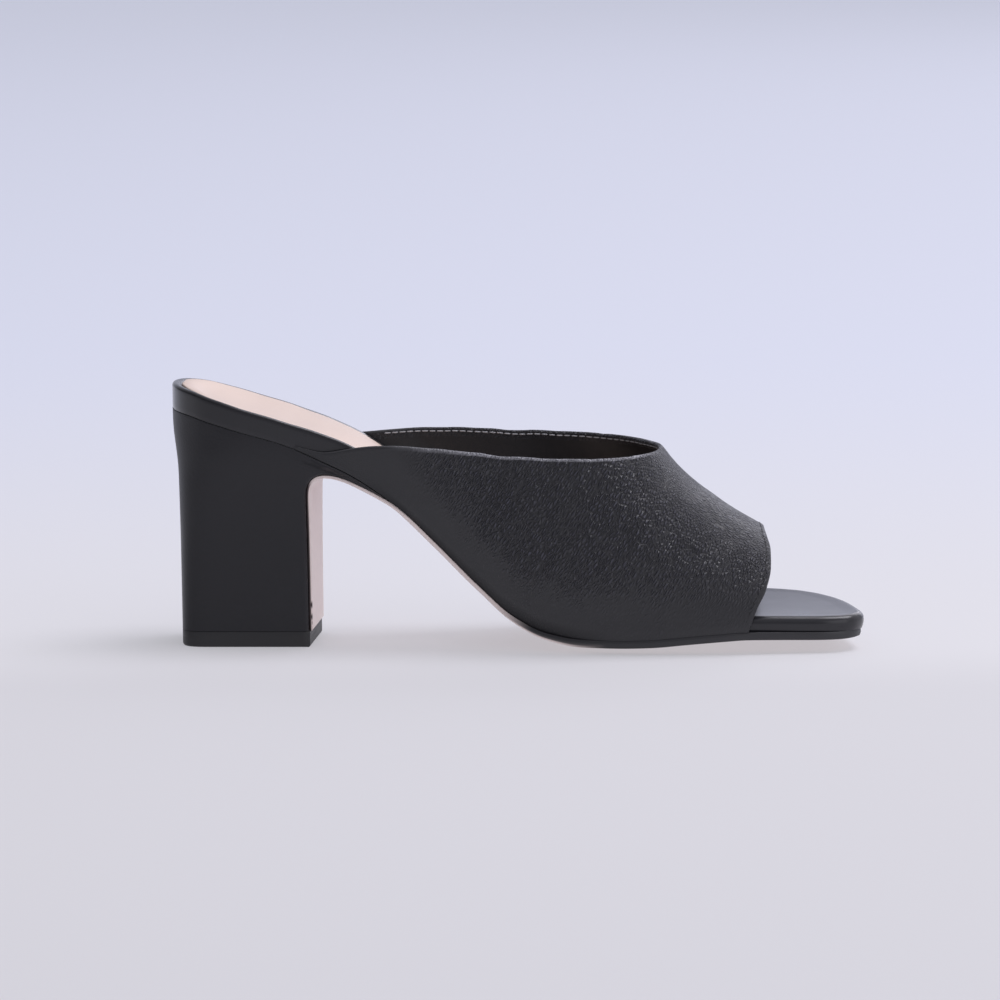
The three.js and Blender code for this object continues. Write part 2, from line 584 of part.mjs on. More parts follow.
async function heelBlock(wasm) {
  const levels = 13;
  const count = 22;
  const low = TOP_PIECE;
  const high = HEEL_HEIGHT * 1.06;
  const rings = [];
  for (let k = 0; k <= levels; k += 1) {
    const z = mix(low, high, k / levels);
    const back = heelRear(z / HEEL_HEIGHT);
    const frontX = toX(0.345);
    const stations = [];
    for (let i = 0; i <= count; i += 1) {
      const f = 1 - Math.cos((Math.PI / 2) * (i / count));
      const x = mix(back, frontX, f ** 1.25);
      stations.push({ q: x, a: heelEdge(x, z, -1), b: heelEdge(x, z, 1) });
    }
    rings.push(loopOf(stations).map((p) => [p[0], p[1], z]));
  }
  const n = rings[0].length;
  const verts = rings.flat(2);
  const tris = [];
  for (let r = 0; r < levels; r += 1) {
    for (let i = 0; i < n; i += 1) {
      const j = (i + 1) % n;
      tris.push(r * n + i, r * n + j, (r + 1) * n + j, r * n + i, (r + 1) * n + j, (r + 1) * n + i);
    }
  }
  for (let i = 0; i < count; i += 1) {
    const j = n - 1 - i;
    const o = levels * n;
    tris.push(i, j, i + 1, i + 1, j, j - 1);
    tris.push(o + i, o + i + 1, o + j, o + i + 1, o + j - 1, o + j);
  }
  const block = toManifold(wasm, solid(verts, tris));
  const above = [];
  above.push([toX(-0.02), seatAt(0) - CLEAR]);
  STATIONS.filter((s) => s < 0.38).forEach((s) => above.push([toX(s), seatAt(s) - CLEAR]));
  above.push([above[above.length - 1][0], HEEL_HEIGHT * 1.3], [toX(-0.02), HEEL_HEIGHT * 1.3]);
  const path = outsolePath().filter((p) => p[2] < 0.37);
  const shifted = path.map((p, i) => {
    const before = path[Math.max(0, i - 1)];
    const after = path[Math.min(path.length - 1, i + 1)];
    const tx = after[0] - before[0];
    const tz = after[1] - before[1];
    const len = Math.hypot(tx, tz);
    return [p[0] + (tz / len) * CLEAR, p[1] - (tx / len) * CLEAR];
  });
  const last = shifted[shifted.length - 1];
  const front = shifted.concat([[last[0], 0], [toX(0.4), 0], [toX(0.4), shifted[0][1]]]);
  const cut = block.subtract(prism(wasm, above)).subtract(prism(wasm, front));
  return fromManifold(cut);
}

// A side-view polygon drawn across the whole width.
function prism(wasm, polygon) {
  const shape = new THREE.Shape(polygon.map((p) => new THREE.Vector2(p[0], p[1])));
  const settings = { depth: BALL_WIDTH * 2, bevelEnabled: false, curveSegments: 1 };
  const geo = new THREE.ExtrudeGeometry(shape, settings);
  geo.deleteAttribute('normal');
  geo.deleteAttribute('uv');
  geo.rotateX(Math.PI / 2);
  geo.translate(0, BALL_WIDTH, 0);
  return toManifold(wasm, mergeVertices(geo, 1e-4));
}

function toManifold(wasm, geo) {
  const mesh = new wasm.Mesh({
    numProp: 3,
    vertProperties: new Float32Array(geo.getAttribute('position').array),
    triVerts: new Uint32Array(geo.getIndex().array),
  });
  mesh.merge();
  return new wasm.Manifold(mesh);
}

function fromManifold(man) {
  const mesh = man.getMesh();
  return solid(Array.from(mesh.vertProperties), Array.from(mesh.triVerts));
}

// Top piece: the rubber under the block.
function topPiece() {
  const count = 20;
  const breastX = toX(LIP[LIP.length - 1].s);
  const frontX = breastX + CLEAR / 3;
  const back = heelRear(0);
  const stations = [];
  for (let i = 0; i <= count; i += 1) {
    const f = (1 - Math.cos((Math.PI / 2) * (i / count))) ** 1.25;
    const x = mix(back, frontX, f);
    const half = Math.abs(heelEdge(Math.min(x, breastX - 0.08 * SEAT_WIDTH), 0, 1));
    stations.push({ q: x, a: -half, b: half });
  }
  const layers = [
    { inset: TOP_PIECE_EDGE, depth: 0 },
    { inset: 0.0, depth: TOP_PIECE_EDGE / TOP_PIECE },
    { inset: 0.0, depth: 1 },
  ];
  const spine = (x) => [Math.min(frontX - OUTSOLE / 2, Math.max(back + 0.24 * SEAT_WIDTH, x)), 0];
  const place = (p, depth) => [p[0], p[1], depth * TOP_PIECE];
  return pad(loopOf(stations), layers, place, spine, [1]);
}

function piece(name, geo, color, roughness) {
  const flat = geo.toNonIndexed();
  flat.computeVertexNormals();
  const material = new THREE.MeshStandardMaterial({ color, roughness, metalness: 0 });
  const mesh = new THREE.Mesh(flat, material);
  mesh.name = name;
  return mesh;
}

// The middle of the overall box is brought over the origin.
function centre(group) {
  const box = new THREE.Box3().setFromObject(group);
  const shift = new THREE.Vector3(-(box.min.x + box.max.x) / 2, -(box.min.y + box.max.y) / 2, -box.min.z);
  group.children.forEach((mesh) => mesh.geometry.translate(shift.x, shift.y, shift.z));
}

const wasm = await Module();
wasm.setup();
const group = new THREE.Group();
group.name = 'mule';
group.add(piece('upper', upperShell(), 0x3a3a3e, 0.55));
group.add(piece('insole', footbed(), 0x2c2c30, 0.5));
group.add(piece('sock_lining', sockLining(), 0xe0cfca, 0.6));
group.add(piece('outsole', outsole(), 0xc2b7b4, 0.5));
group.add(piece('heel', await heelBlock(wasm), 0x2c2c30, 0.5));
group.add(piece('top_piece', topPiece(), 0x222225, 0.7));
centre(group);
export default group;
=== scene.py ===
"""Looks of an open-toe block-heel mule, laid out as an add-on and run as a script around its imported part."""

import math

import bmesh
import bpy
import numpy as np
from bpy.props import FloatProperty, FloatVectorProperty, PointerProperty
from mathutils import Matrix, Vector


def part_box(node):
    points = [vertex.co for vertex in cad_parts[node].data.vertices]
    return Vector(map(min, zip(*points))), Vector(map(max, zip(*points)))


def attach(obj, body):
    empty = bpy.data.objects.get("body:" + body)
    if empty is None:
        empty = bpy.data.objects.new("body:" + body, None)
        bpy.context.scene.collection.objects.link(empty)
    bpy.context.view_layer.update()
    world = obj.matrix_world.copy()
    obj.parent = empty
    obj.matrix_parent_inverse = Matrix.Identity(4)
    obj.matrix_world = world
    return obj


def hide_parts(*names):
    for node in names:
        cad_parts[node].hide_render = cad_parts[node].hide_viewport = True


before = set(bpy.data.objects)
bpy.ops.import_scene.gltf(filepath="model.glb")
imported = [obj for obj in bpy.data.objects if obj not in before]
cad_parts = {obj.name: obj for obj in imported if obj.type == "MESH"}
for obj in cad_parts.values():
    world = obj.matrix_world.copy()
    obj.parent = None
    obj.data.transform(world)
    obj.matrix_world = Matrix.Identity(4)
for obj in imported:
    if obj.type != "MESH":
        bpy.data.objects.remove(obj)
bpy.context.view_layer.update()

bl_info = {
    "name": "Block-heel mule",
    "version": (1, 0, 0),
    "blender": (4, 5, 0),
    "location": "View3D > Sidebar > Mule",
    "description": "Dresses the packed mule in leather, with its stitching, stage and camera",
    "category": "Object",
}

MM = 0.001


# Tables, as in the part's source

def table(columns, rows):
    names = columns.split()
    return {name: np.array([row[i] for row in rows], float) for i, name in enumerate(names)}


# The last and footbed. s: share of length from the back. medial, lateral: footbed edges, share of ball width.
# seat: underside at the edge, share of heel height. thick: share of the footbed's height. dish, cup: how far
# the middle of the underside and of the top lie below the edge, share of the footbed's height.
BED = table("s medial lateral seat thick dish cup", [
    (0.0, 0.0, 0.0, 1.003, 1.08, 0, 0.1),
    (0.0087, -0.128, 0.128, 1.0, 1.06, 0, 0.1),
    (0.03, -0.22, 0.22, 0.991, 1.0, 0, 0.13),
    (0.065, -0.292, 0.29, 0.964, 0.945, 0, 0.16),
    (0.115, -0.323, 0.319, 0.923, 0.885, 0, 0.18),
    (0.17, -0.326, 0.321, 0.877, 0.865, 0, 0.18),
    (0.22, -0.321, 0.318, 0.815, 1.03, 0, 0.16),
    (0.27, -0.311, 0.312, 0.743, 1.15, 0, 0.13),
    (0.325, -0.295, 0.309, 0.629, 1.19, 0, 0.11),
    (0.39, -0.285, 0.309, 0.445, 1.19, 0.06, 0.11),
    (0.45, -0.294, 0.333, 0.269, 1.13, 0.13, 0.14),
    (0.5, -0.324, 0.377, 0.145, 0.96, 0.19, 0.19),
    (0.55, -0.368, 0.429, 0.081, 0.78, 0.24, 0.24),
    (0.6, -0.409, 0.473, 0.061, 0.7, 0.28, 0.26),
    (0.65, -0.432, 0.505, 0.059, 0.67, 0.285, 0.26),
    (0.7, -0.444, 0.52, 0.063, 0.66, 0.265, 0.25),
    (0.75, -0.447, 0.519, 0.076, 0.66, 0.22, 0.22),
    (0.8, -0.443, 0.499, 0.088, 0.66, 0.18, 0.18),
    (0.835, -0.436, 0.475, 0.094, 0.66, 0.15, 0.15),
    (0.891, -0.418, 0.42, 0.092, 0.66, 0.1, 0.1),
    (0.922, -0.406, 0.347, 0.09, 0.66, 0.08, 0.08),
    (0.948, -0.395, 0.24, 0.089, 0.66, 0.06, 0.06),
    (0.972, -0.374, 0.085, 0.089, 0.66, 0.04, 0.04),
    (0.987, -0.344, -0.065, 0.09, 0.66, 0.02, 0.02),
    (0.9957, -0.306, -0.165, 0.091, 0.66, 0.01, 0.01),
    (1.0, -0.256, -0.256, 0.092, 0.66, 0, 0),
])

# The outsole. past: how far its edge stands past the footbed's, share of ball width. thick: share of its own.
TREAD = table("s past thick", [
    (0.2, 0.006, 0.36),
    (0.24, 0.006, 0.4),
    (0.35, 0.006, 0.5),
    (0.46, 0.008, 0.52),
    (0.53, 0.012, 0.78),
    (0.6, 0.018, 1.0),
    (0.8, 0.018, 1.0),
    (0.86, 0.008, 1.0),
    (0.92, 0.003, 1.0),
    (1.0, 0.003, 1.0),
])

# Inner line of the outsole under the heel's lip and round into the breast: shares of length and heel height.
LIP = table("s z", [
    (0.325, 0.622),
    (0.31, 0.648),
    (0.296, 0.671),
    (0.28, 0.696),
    (0.2655, 0.7155),
    (0.252, 0.7285),
    (0.24, 0.736),
    (0.2285, 0.738),
    (0.219, 0.7335),
    (0.2115, 0.722),
    (0.206, 0.703),
    (0.2025, 0.676),
    (0.2017, 0.64),
    (0.2017, 0.55),
    (0.2017, 0.44),
    (0.2017, 0.33),
    (0.2017, 0.22),
])

# The heel block by height. back: its back line in from the rear, share of length. half: half width at the
# breast, round: length of the rounded back, shares of seat width. square: how full that round is
# (2 is an ellipse).
HEEL = table("z back half round square", [
    (0.0, 0.012, 0.352, 0.25, 4.0),
    (0.16, 0.0118, 0.358, 0.26, 3.9),
    (0.32, 0.0114, 0.368, 0.28, 3.7),
    (0.48, 0.0107, 0.385, 0.31, 3.35),
    (0.64, 0.0093, 0.42, 0.36, 2.85),
    (0.74, 0.0078, 0.455, 0.42, 2.45),
    (0.85, 0.0054, 0.488, 0.47, 2.15),
    (0.95, 0.0025, 0.504, 0.5, 2.0),
    (1.05, 0.0, 0.508, 0.5, 2.0),
])

# The upper over the last. bulge: how far the sides stand out past the feather edge, share of ball width.
# crown: height of the ridge over the feather edge, share of instep height. ridge: its place across, share of
# ball width. square, outer: how full the section is on the medial and on the lateral side (2 is an ellipse).
UPPER = table("s bulge crown square outer ridge", [
    (0.18, 0.0, 0.889, 3.6, 3.6, 0.0),
    (0.26, 0.012, 0.985, 3.6, 3.6, 0.0),
    (0.34, 0.03, 1.139, 3.6, 3.5, 0.0),
    (0.42, 0.045, 1.369, 3.5, 3.4, -0.02),
    (0.5, 0.045, 1.545, 3.4, 3.2, -0.04),
    (0.535, 0.041, 1.554, 3.307, 3.058, -0.05),
    (0.565, 0.036, 1.52, 3.2, 2.9, -0.06),
    (0.63, 0.028, 1.331, 2.9, 2.4, -0.08),
    (0.68, 0.022, 1.124, 2.6, 2.1, -0.09),
    (0.7075, 0.02, 1.0, 2.45, 2.0, -0.09),
    (0.72, 0.02, 0.933, 2.4, 2.0, -0.09),
    (0.74, 0.018, 0.843, 2.35, 2.0, -0.09),
    (0.76, 0.016, 0.769, 2.3, 2.0, -0.09),
    (0.78, 0.014, 0.706, 2.3, 2.0, -0.09),
    (0.8, 0.012, 0.644, 2.3, 2.0, -0.09),
    (0.825, 0.01, 0.578, 2.3, 2.0, -0.09),
    (0.852, 0.01, 0.519, 2.3, 2.0, -0.09),
    (0.9, 0.008, 0.423, 2.3, 2.0, -0.09),
])

# The topline, from the wing's tip at the back to the throat. top, far: height over the feather edge on
# the medial and the lateral side, share of instep height.
TOPLINE = table("s top far", [
    (0.187, 0.019, 0.019),
    (0.205, 0.028, 0.028),
    (0.226, 0.047, 0.046),
    (0.24, 0.073, 0.07),
    (0.258, 0.117, 0.11),
    (0.276, 0.166, 0.154),
    (0.3, 0.236, 0.222),
    (0.325, 0.312, 0.302),
    (0.358, 0.423, 0.423),
    (0.41, 0.607, 0.621),
    (0.46, 0.775, 0.796),
    (0.51, 0.909, 0.933),
    (0.535, 0.95, 0.971),
    (0.565, 0.975, 0.994),
    (0.5925, 0.99, 1.004),
    (0.63, 0.994, 1.003),
    (0.665, 0.998, 1.0),
    (0.69, 1.0, 0.996),
    (0.7075, 1.0, 1.0),
])

# The vamp's front edge. t: way around the section from medial to lateral feather edge. s: share of length.
FRONT = table("t s", [
    (0.0, 0.8375),
    (0.06, 0.848),
    (0.14, 0.862),
    (0.24, 0.8682),
    (0.34, 0.8665),
    (0.43, 0.8595),
    (0.5, 0.854),
    (0.6, 0.848),
    (0.75, 0.843),
    (0.88, 0.832),
    (1.0, 0.815),
])

# Soft creases, placed on the upper. Each runs from one point of the skin to another.
# s0, t0, s1, t1: its two ends. wide: half width in mm. deep: depth, share of the upper's wall.
CREASES = table("s0 t0 s1 t1 wide deep", [
    (0.765, 0.43, 0.80, 0.30, 1.6, 0.14),
    (0.735, 0.20, 0.825, 0.16, 1.2, 0.10),
    (0.705, 0.40, 0.72, 0.27, 1.7, 0.12),
    (0.66, 0.34, 0.69, 0.22, 1.9, 0.12),
    (0.60, 0.27, 0.63, 0.15, 2.2, 0.11),
    (0.50, 0.10, 0.60, 0.055, 2.0, 0.14),
    (0.42, 0.13, 0.50, 0.11, 2.6, 0.12),
    (0.765, 0.57, 0.80, 0.70, 1.6, 0.14),
    (0.70, 0.62, 0.72, 0.74, 1.8, 0.12),
    (0.60, 0.73, 0.63, 0.85, 2.2, 0.11),
    (0.42, 0.87, 0.50, 0.89, 2.6, 0.12),
])

# Scuffs on the sole leather at the bottom of the breast. x, y, z: place. radius: size. All in mm.
SCUFFS = table("x y z radius", [
    (-67.2, -19.2, 13.9, 1.6),
    (-66.4, -18.6, 14.4, 1.3),
    (-67.2, -19.2, 9.9, 1.5),
    (-66.8, -18.9, 7.9, 1.2),
])

# How far the footbed's rolled rim stands over its surface. near, far: share of the sock's thickness, on the
# medial and on the lateral side.
RIM = table("s near far", [
    (0.0, 0.1, 0.1),
    (0.012, 0.12, 0.1),
    (0.04, 0.45, 0.15),
    (0.1, 0.95, 0.4),
    (0.15, 0.95, 0.3),
    (0.2, 0.95, -0.2),
    (0.24, 0.9, -0.9),
    (0.28, 0.9, -1.6),
    (0.32, 0.8, -2.0),
    (0.37, 0.6, -2.1),
    (0.43, 0.3, -1.3),
    (0.5, 0.0, 0.0),
    (1.0, 0.0, 0.0),
])

# Footbed's rim, in mm: its round at heel and toe, how far it leans in below the toe, and how far it goes
# down past the joint under it.
HEEL_ROLL = 1.0
TOE_ROLL = 2.3
TOE_LEAN = 0.5
BED_DROP = 0.15

# Sock lining's edge, in mm: from its top down to a rise of 0.
SOCK_DEPTH = 0.75

# Sole strip on the breast, in mm in from the block's sides.
BREAST_IN = 1.25

# Heel block, in mm: how far it stands out by the seat, the round of its breast corners and of its top edge.
BLOCK_STEP = 0.16
BLOCK_CORNER = 1.1
BLOCK_EDGE = 0.22

# Seams, in mm: how far in from the edge they lie, then the front seam's pitch and stitch.
TOPLINE_SEAM_IN = 0.4
FRONT_SEAM_IN = 1.0
FRONT_PITCH = 1.8
FRONT_STITCH = 1.25

# How finely the upper is divided, around it and from topline to front edge.
AROUND = 236
ALONG = 132

# Soft boxes: which light of the stage, its place and target, and its side, in metres.
SOFT_BOXES = (
    ("key", (0.86, 0.3, 2.1), (0.02, 0.0, 0.04), 1.25),
    ("fill", (1.15, -1.2, 0.5), (-0.05, 0.0, 0.03), 1.2),
    ("rim", (0.7, 2.2, 1.1), (0.03, 0.0, 0.05), 1.4),
)

# Colours of the soft boxes and of the room, and the way to the room's bright side.
LIGHT_COLOUR = (0.95, 0.93, 1.0)
ROOM_COLOUR = (0.93, 0.925, 1.0, 1.0)
BRIGHT_SIDE = (0.7, 0.28, 0.66)

# The point that the camera looks at, in mm.
AIM = (-6.42, -2.56, 46.49)


def linear(text):
    """An sRGB hex colour as linear values."""
    parts = [int(text[i:i + 2], 16) / 255 for i in (0, 2, 4)]
    return tuple(c / 12.92 if c <= 0.04045 else ((c + 0.055) / 1.055) ** 2.4 for c in parts)


class MuleSizes(bpy.types.PropertyGroup):
    """Sizes of the shoe, the same as in the part's source."""

    length: FloatProperty(name="Length", description="Footbed, heel to toe", default=0.229, unit="LENGTH")
    ball_width: FloatProperty(name="Ball width", description="Across the joints", default=0.078,
                              unit="LENGTH")
    heel_height: FloatProperty(name="Heel height", description="Seat over the floor", default=0.078,
                               unit="LENGTH")
    instep_height: FloatProperty(name="Instep", description="Throat over the feather", default=0.06,
                                 unit="LENGTH")
    seat_width: FloatProperty(name="Seat width", description="Across the heel", default=0.0505, unit="LENGTH")
    toe_tuck: FloatProperty(name="Toe tuck", description="Outsole behind the toe", default=0.0011,
                            unit="LENGTH")
    footbed: FloatProperty(name="Footbed", description="Wrapped board", default=0.0076, unit="LENGTH")
    outsole: FloatProperty(name="Outsole", description="Leather strip", default=0.0024, unit="LENGTH")
    wall: FloatProperty(name="Upper wall", description="Leather and lining", default=0.0016, unit="LENGTH")
    sock: FloatProperty(name="Sock", description="Sock lining", default=0.0009, unit="LENGTH")
    sock_length: FloatProperty(name="Sock length", description="From the heel", default=0.142, unit="LENGTH")
    top_piece: FloatProperty(name="Top piece", description="Rubber height", default=0.0053, unit="LENGTH")
    clear: FloatProperty(name="Clearance", description="Between pieces", default=0.0003, unit="LENGTH")
    pebble: FloatProperty(name="Pebble", description="Grain of the leather", default=0.00088, unit="LENGTH")
    stitch: FloatProperty(name="Stitch pitch", description="Topline seam", default=0.0025, unit="LENGTH")
    thread: FloatProperty(name="Thread", description="Thread diameter", default=0.00046, unit="LENGTH")


class MuleColours(bpy.types.PropertyGroup):
    """Colours of the finishes."""

    leather: FloatVectorProperty(name="Leather", subtype="COLOR", default=linear("28282B"),
                                 description="Black pigment over the grain")
    # Painted highlight: the pebble tops are painted lighter and bluish, in place of the light they catch.
    pebble_highlight: FloatVectorProperty(name="Raised grain", subtype="COLOR", default=linear("4E4E5A"),
                                      description="Tops of the pebbles")
    # Painted highlight: the light line along the near rolled topline, painted in this pale colour.
    rubbed: FloatVectorProperty(name="Rubbed edge", subtype="COLOR", default=linear("C4C4CC"),
                                description="Top of the folded edge, where the pigment has thinned")
    block: FloatVectorProperty(name="Block leather", subtype="COLOR", default=linear("232327"),
                               description="Leather over the heel")
    lining: FloatVectorProperty(name="Lining", subtype="COLOR", default=linear("262527"),
                                description="Inside of the upper")
    sock: FloatVectorProperty(name="Sock", subtype="COLOR", default=linear("DDC9BC"),
                              description="Blush sock leather")
    sole: FloatVectorProperty(name="Sole", subtype="COLOR", default=linear("F0E1DC"),
                              description="Blush sole leather")
    ink: FloatVectorProperty(name="Edge ink", subtype="COLOR", default=linear("303033"),
                             description="Black dressing on the sole's edge")
    cut: FloatVectorProperty(name="Cut edge", subtype="COLOR", default=linear("3A2A2A"),
                             description="Bare edge of the sole leather at the breast")
    rubber: FloatVectorProperty(name="Rubber", subtype="COLOR", default=linear("29292B"),
                                description="Top piece")
    thread: FloatVectorProperty(name="Thread", subtype="COLOR", default=linear("B2B2B6"),
                                description="Topline seam")
    floor: FloatVectorProperty(name="Floor", subtype="COLOR", default=linear("E6E5EA"),
                               description="Studio paper near the camera")
    far: FloatVectorProperty(name="Backdrop", subtype="COLOR", default=linear("DFE2F2"),
                             description="Studio paper behind")


class MuleStage(bpy.types.PropertyGroup):
    """Camera and light."""

    azimuth: FloatProperty(name="Azimuth", description="From the side view", default=math.radians(5.5),
                           subtype="ANGLE")
    elevation: FloatProperty(name="Elevation", description="Over the floor", default=math.radians(7.4),
                             subtype="ANGLE")
    roll: FloatProperty(name="Roll", description="About the view line", default=math.radians(0.8),
                        subtype="ANGLE")
    distance: FloatProperty(name="Distance", description="Camera to shoe", default=3.0, unit="LENGTH")
    lens: FloatProperty(name="Lens", description="On a 36 mm sensor, in mm", default=327.24)
    sky: FloatProperty(name="Surrounding light", description="Strength of the room", default=0.735)
    key: FloatProperty(name="Key light", description="Soft box over the toe, in watts", default=26.0)
    fill: FloatProperty(name="Fill light", description="Soft box low in front of the toe, in watts",
                        default=3.2)
    rim: FloatProperty(name="Rim light", description="Soft box behind, in watts", default=7.0)


# Curves and the last

def smooth(f):
    c = np.clip(f, 0, 1)
    return c * c * (3 - 2 * c)


def mix(a, b, f):
    return a + (b - a) * f


def bend(s):
    return np.arcsin(np.sqrt(np.clip(s, 0, 1))) / (math.pi / 2)


def unbend(g):
    return np.sin(math.pi / 2 * np.asarray(g, float)) ** 2


class Curve:
    """Monotone cubic through two columns of a table."""

    def __init__(self, rows, key, column, warp=None):
        keys = warp(rows[key]) if warp else rows[key]
        order = np.argsort(keys)
        self.keys, self.values, self.warp = keys[order], rows[column][order], warp
        self.steps = np.diff(self.keys)
        slopes = np.diff(self.values) / self.steps
        self.turns = np.zeros(len(keys))
        self.turns[0], self.turns[-1] = slopes[0], slopes[-1]
        before, after = slopes[:-1], slopes[1:]
        w1, w2 = 2 * self.steps[1:] + self.steps[:-1], self.steps[1:] + 2 * self.steps[:-1]
        same = before * after > 0
        safe_before, safe_after = np.where(same, before, 1), np.where(same, after, 1)
        self.turns[1:-1] = np.where(same, (w1 + w2) / (w1 / safe_before + w2 / safe_after), 0)

    def __call__(self, value):
        v = np.asarray(value, float)
        v = np.clip(self.warp(v) if self.warp else v, self.keys[0], self.keys[-1])
        i = np.clip(np.searchsorted(self.keys, v, side="right") - 1, 0, len(self.steps) - 1)
        h = self.steps[i]
        f = (v - self.keys[i]) / h
        start = (1 + 2 * f) * (1 - f) ** 2 * self.values[i] + f * (1 - f) ** 2 * h * self.turns[i]
        return start + f * f * (3 - 2 * f) * self.values[i + 1] + f * f * (f - 1) * h * self.turns[i + 1]


class Last:
    """The footbed's edges and surfaces, and the skin of the upper, worked out from the sizes."""

    def __init__(self, size):
        self.size = size
        self.medial_share = Curve(BED, "s", "medial", bend)
        self.lateral_share = Curve(BED, "s", "lateral", bend)
        self.seat_share = Curve(BED, "s", "seat")
        self.thick = Curve(BED, "s", "thick")
        self.dish = Curve(BED, "s", "dish")
        self.cup = Curve(BED, "s", "cup")
        self.bulge = Curve(UPPER, "s", "bulge")
        self.crown = Curve(UPPER, "s", "crown")
        self.square = Curve(UPPER, "s", "square")
        self.outer = Curve(UPPER, "s", "outer")
        self.ridge = Curve(UPPER, "s", "ridge")
        self.topline = Curve(TOPLINE, "s", "top")
        self.far_topline = Curve(TOPLINE, "s", "far")
        self.front = Curve(FRONT, "t", "s")
        self.past = Curve(TREAD, "s", "past")
        self.tread = Curve(TREAD, "s", "thick")
        lip = {key: values[LIP["s"] > 0.202] for key, values in LIP.items()}
        self.lip = Curve(lip, "s", "z")
        self.heel_back = Curve(HEEL, "z", "back")
        self.heel_half = Curve(HEEL, "z", "half")
        self.heel_round = Curve(HEEL, "z", "round")
        self.heel_square = Curve(HEEL, "z", "square")
        self.rim_near = Curve(RIM, "s", "near")
        self.rim_far = Curve(RIM, "s", "far")

    def to_x(self, s):
        return (np.asarray(s, float) - 0.5) * self.size.length

    def to_s(self, x):
        return np.asarray(x, float) / self.size.length + 0.5

    def seat(self, s):
        return self.seat_share(s) * self.size.heel_height

    def medial(self, s):
        return self.medial_share(s) * self.size.ball_width

    def lateral(self, s):
        return self.lateral_share(s) * self.size.ball_width

    def across(self, s, y):
        """0 on the middle line, 1 at the edge."""
        a, b = self.medial(s), self.lateral(s)
        half = np.maximum(MM, (b - a) / 2)
        return np.clip(np.abs(y - (a + b) / 2) / half, 0, 1)

    def under_z(self, s, y):
        return self.seat(s) - self.dish(s) * self.size.footbed * (1 - self.across(s, y) ** 2)

    def edge_z(self, s):
        return self.seat(s) + self.thick(s) * self.size.footbed

    def top_z(self, s, y):
        sunk = np.minimum(0, self.rim_far(s)) * self.size.sock * smooth(np.maximum(0, self.across(s, y)))
        return self.edge_z(s) - self.cup(s) * self.size.footbed * (1 - self.across(s, y) ** 2) + sunk

    def rim_z(self, s, y):
        """Height of the rolled rim's top, which differs from side to side."""
        side = smooth(0.5 + y / self.size.seat_width * 1.6)
        return self.edge_z(s) + mix(self.rim_near(s), self.rim_far(s), side) * self.size.sock

    def skin(self, s, t):
        """The upper's outer face at share s of the length and way t around the section."""
        s, t = np.broadcast_arrays(np.asarray(s, float), np.asarray(t, float))
        power = 2 / np.where(t > 0.5, self.outer(s), self.square(s))
        cos = np.cos(math.pi * t)
        c = np.sign(cos) * np.abs(cos) ** power
        up = np.abs(np.sin(math.pi * t)) ** power
        low = self.seat(s)
        z = low + self.crown(s) * self.size.instep_height * up
        ridge = self.ridge(s) * self.size.ball_width
        past = self.size.clear + self.size.wall
        swell = self.bulge(s) * self.size.ball_width * smooth((z - low) / (0.35 * self.size.instep_height))
        near, far = self.medial(s) - past - swell, self.lateral(s) + past + swell
        edge = np.where(c > 0, ridge - near, far - ridge)
        return np.stack([self.to_x(s), ridge - c * edge, z], axis=-1)

    def skin_normal(self, s, t):
        step = 1e-4
        tc = np.clip(t, 2 * step, 1 - 2 * step)
        ds = self.skin(s + step, tc) - self.skin(s - step, tc)
        dt = self.skin(s, tc + step) - self.skin(s, tc - step)
        normal = np.cross(dt, ds)
        normal /= np.linalg.norm(normal, axis=-1, keepdims=True)
        point = self.skin(s, t)
        middle = np.stack([point[..., 0], 0 * point[..., 1], self.seat(s) + 0.01], axis=-1)
        out = np.sum(normal * (point - middle), axis=-1, keepdims=True)
        return normal * np.where(out < 0, -1, 1)

    def topline_t(self, s, side):
        """Way around the section at which the skin reaches the topline."""
        rise = np.where(side < 0, self.topline(s), self.far_topline(s))
        goal = self.seat(s) + rise * self.size.instep_height
        low, high = np.zeros_like(s), np.full_like(s, 0.5)
        for _ in range(40):
            mid = (low + high) / 2
            under = self.skin(s, np.where(side < 0, mid, 1 - mid))[..., 2] < goal
            low, high = np.where(under, mid, low), np.where(under, high, mid)
        return (low + high) / 2

    def spread(self, u, v):
        """Point (u, v) of the upper's pattern as (s, t): v runs from the topline to the front edge."""
        u, v = np.broadcast_arrays(np.asarray(u, float), np.asarray(v, float))
        side = np.where(u <= 0.5, -1, 1)
        w = np.where(u <= 0.5, 2 * u, 2 * (1 - u))
        run = np.sin(math.pi / 2 * w) ** 1.15
        s_top = mix(TOPLINE["s"][0], TOPLINE["s"][-1], run)
        t_top = np.where(w < 1e-9, 0, self.topline_t(s_top, side))
        t_top = np.where(side < 0, t_top, 1 - t_top)
        t_top = np.where(w > 1 - 1e-9, 0.5, t_top)
        return mix(s_top, self.front(u), v), mix(t_top, u, v)

    def sole_edge(self, s, z, side):
        breast = self.heel_half(z / self.size.heel_height) * self.size.seat_width - self.size.clear
        bed = np.where(side < 0, -self.medial(s), self.lateral(s))
        waist = bed + self.past(s) * self.size.ball_width
        return side * mix(breast, waist, smooth((s - 0.225) / 0.06))

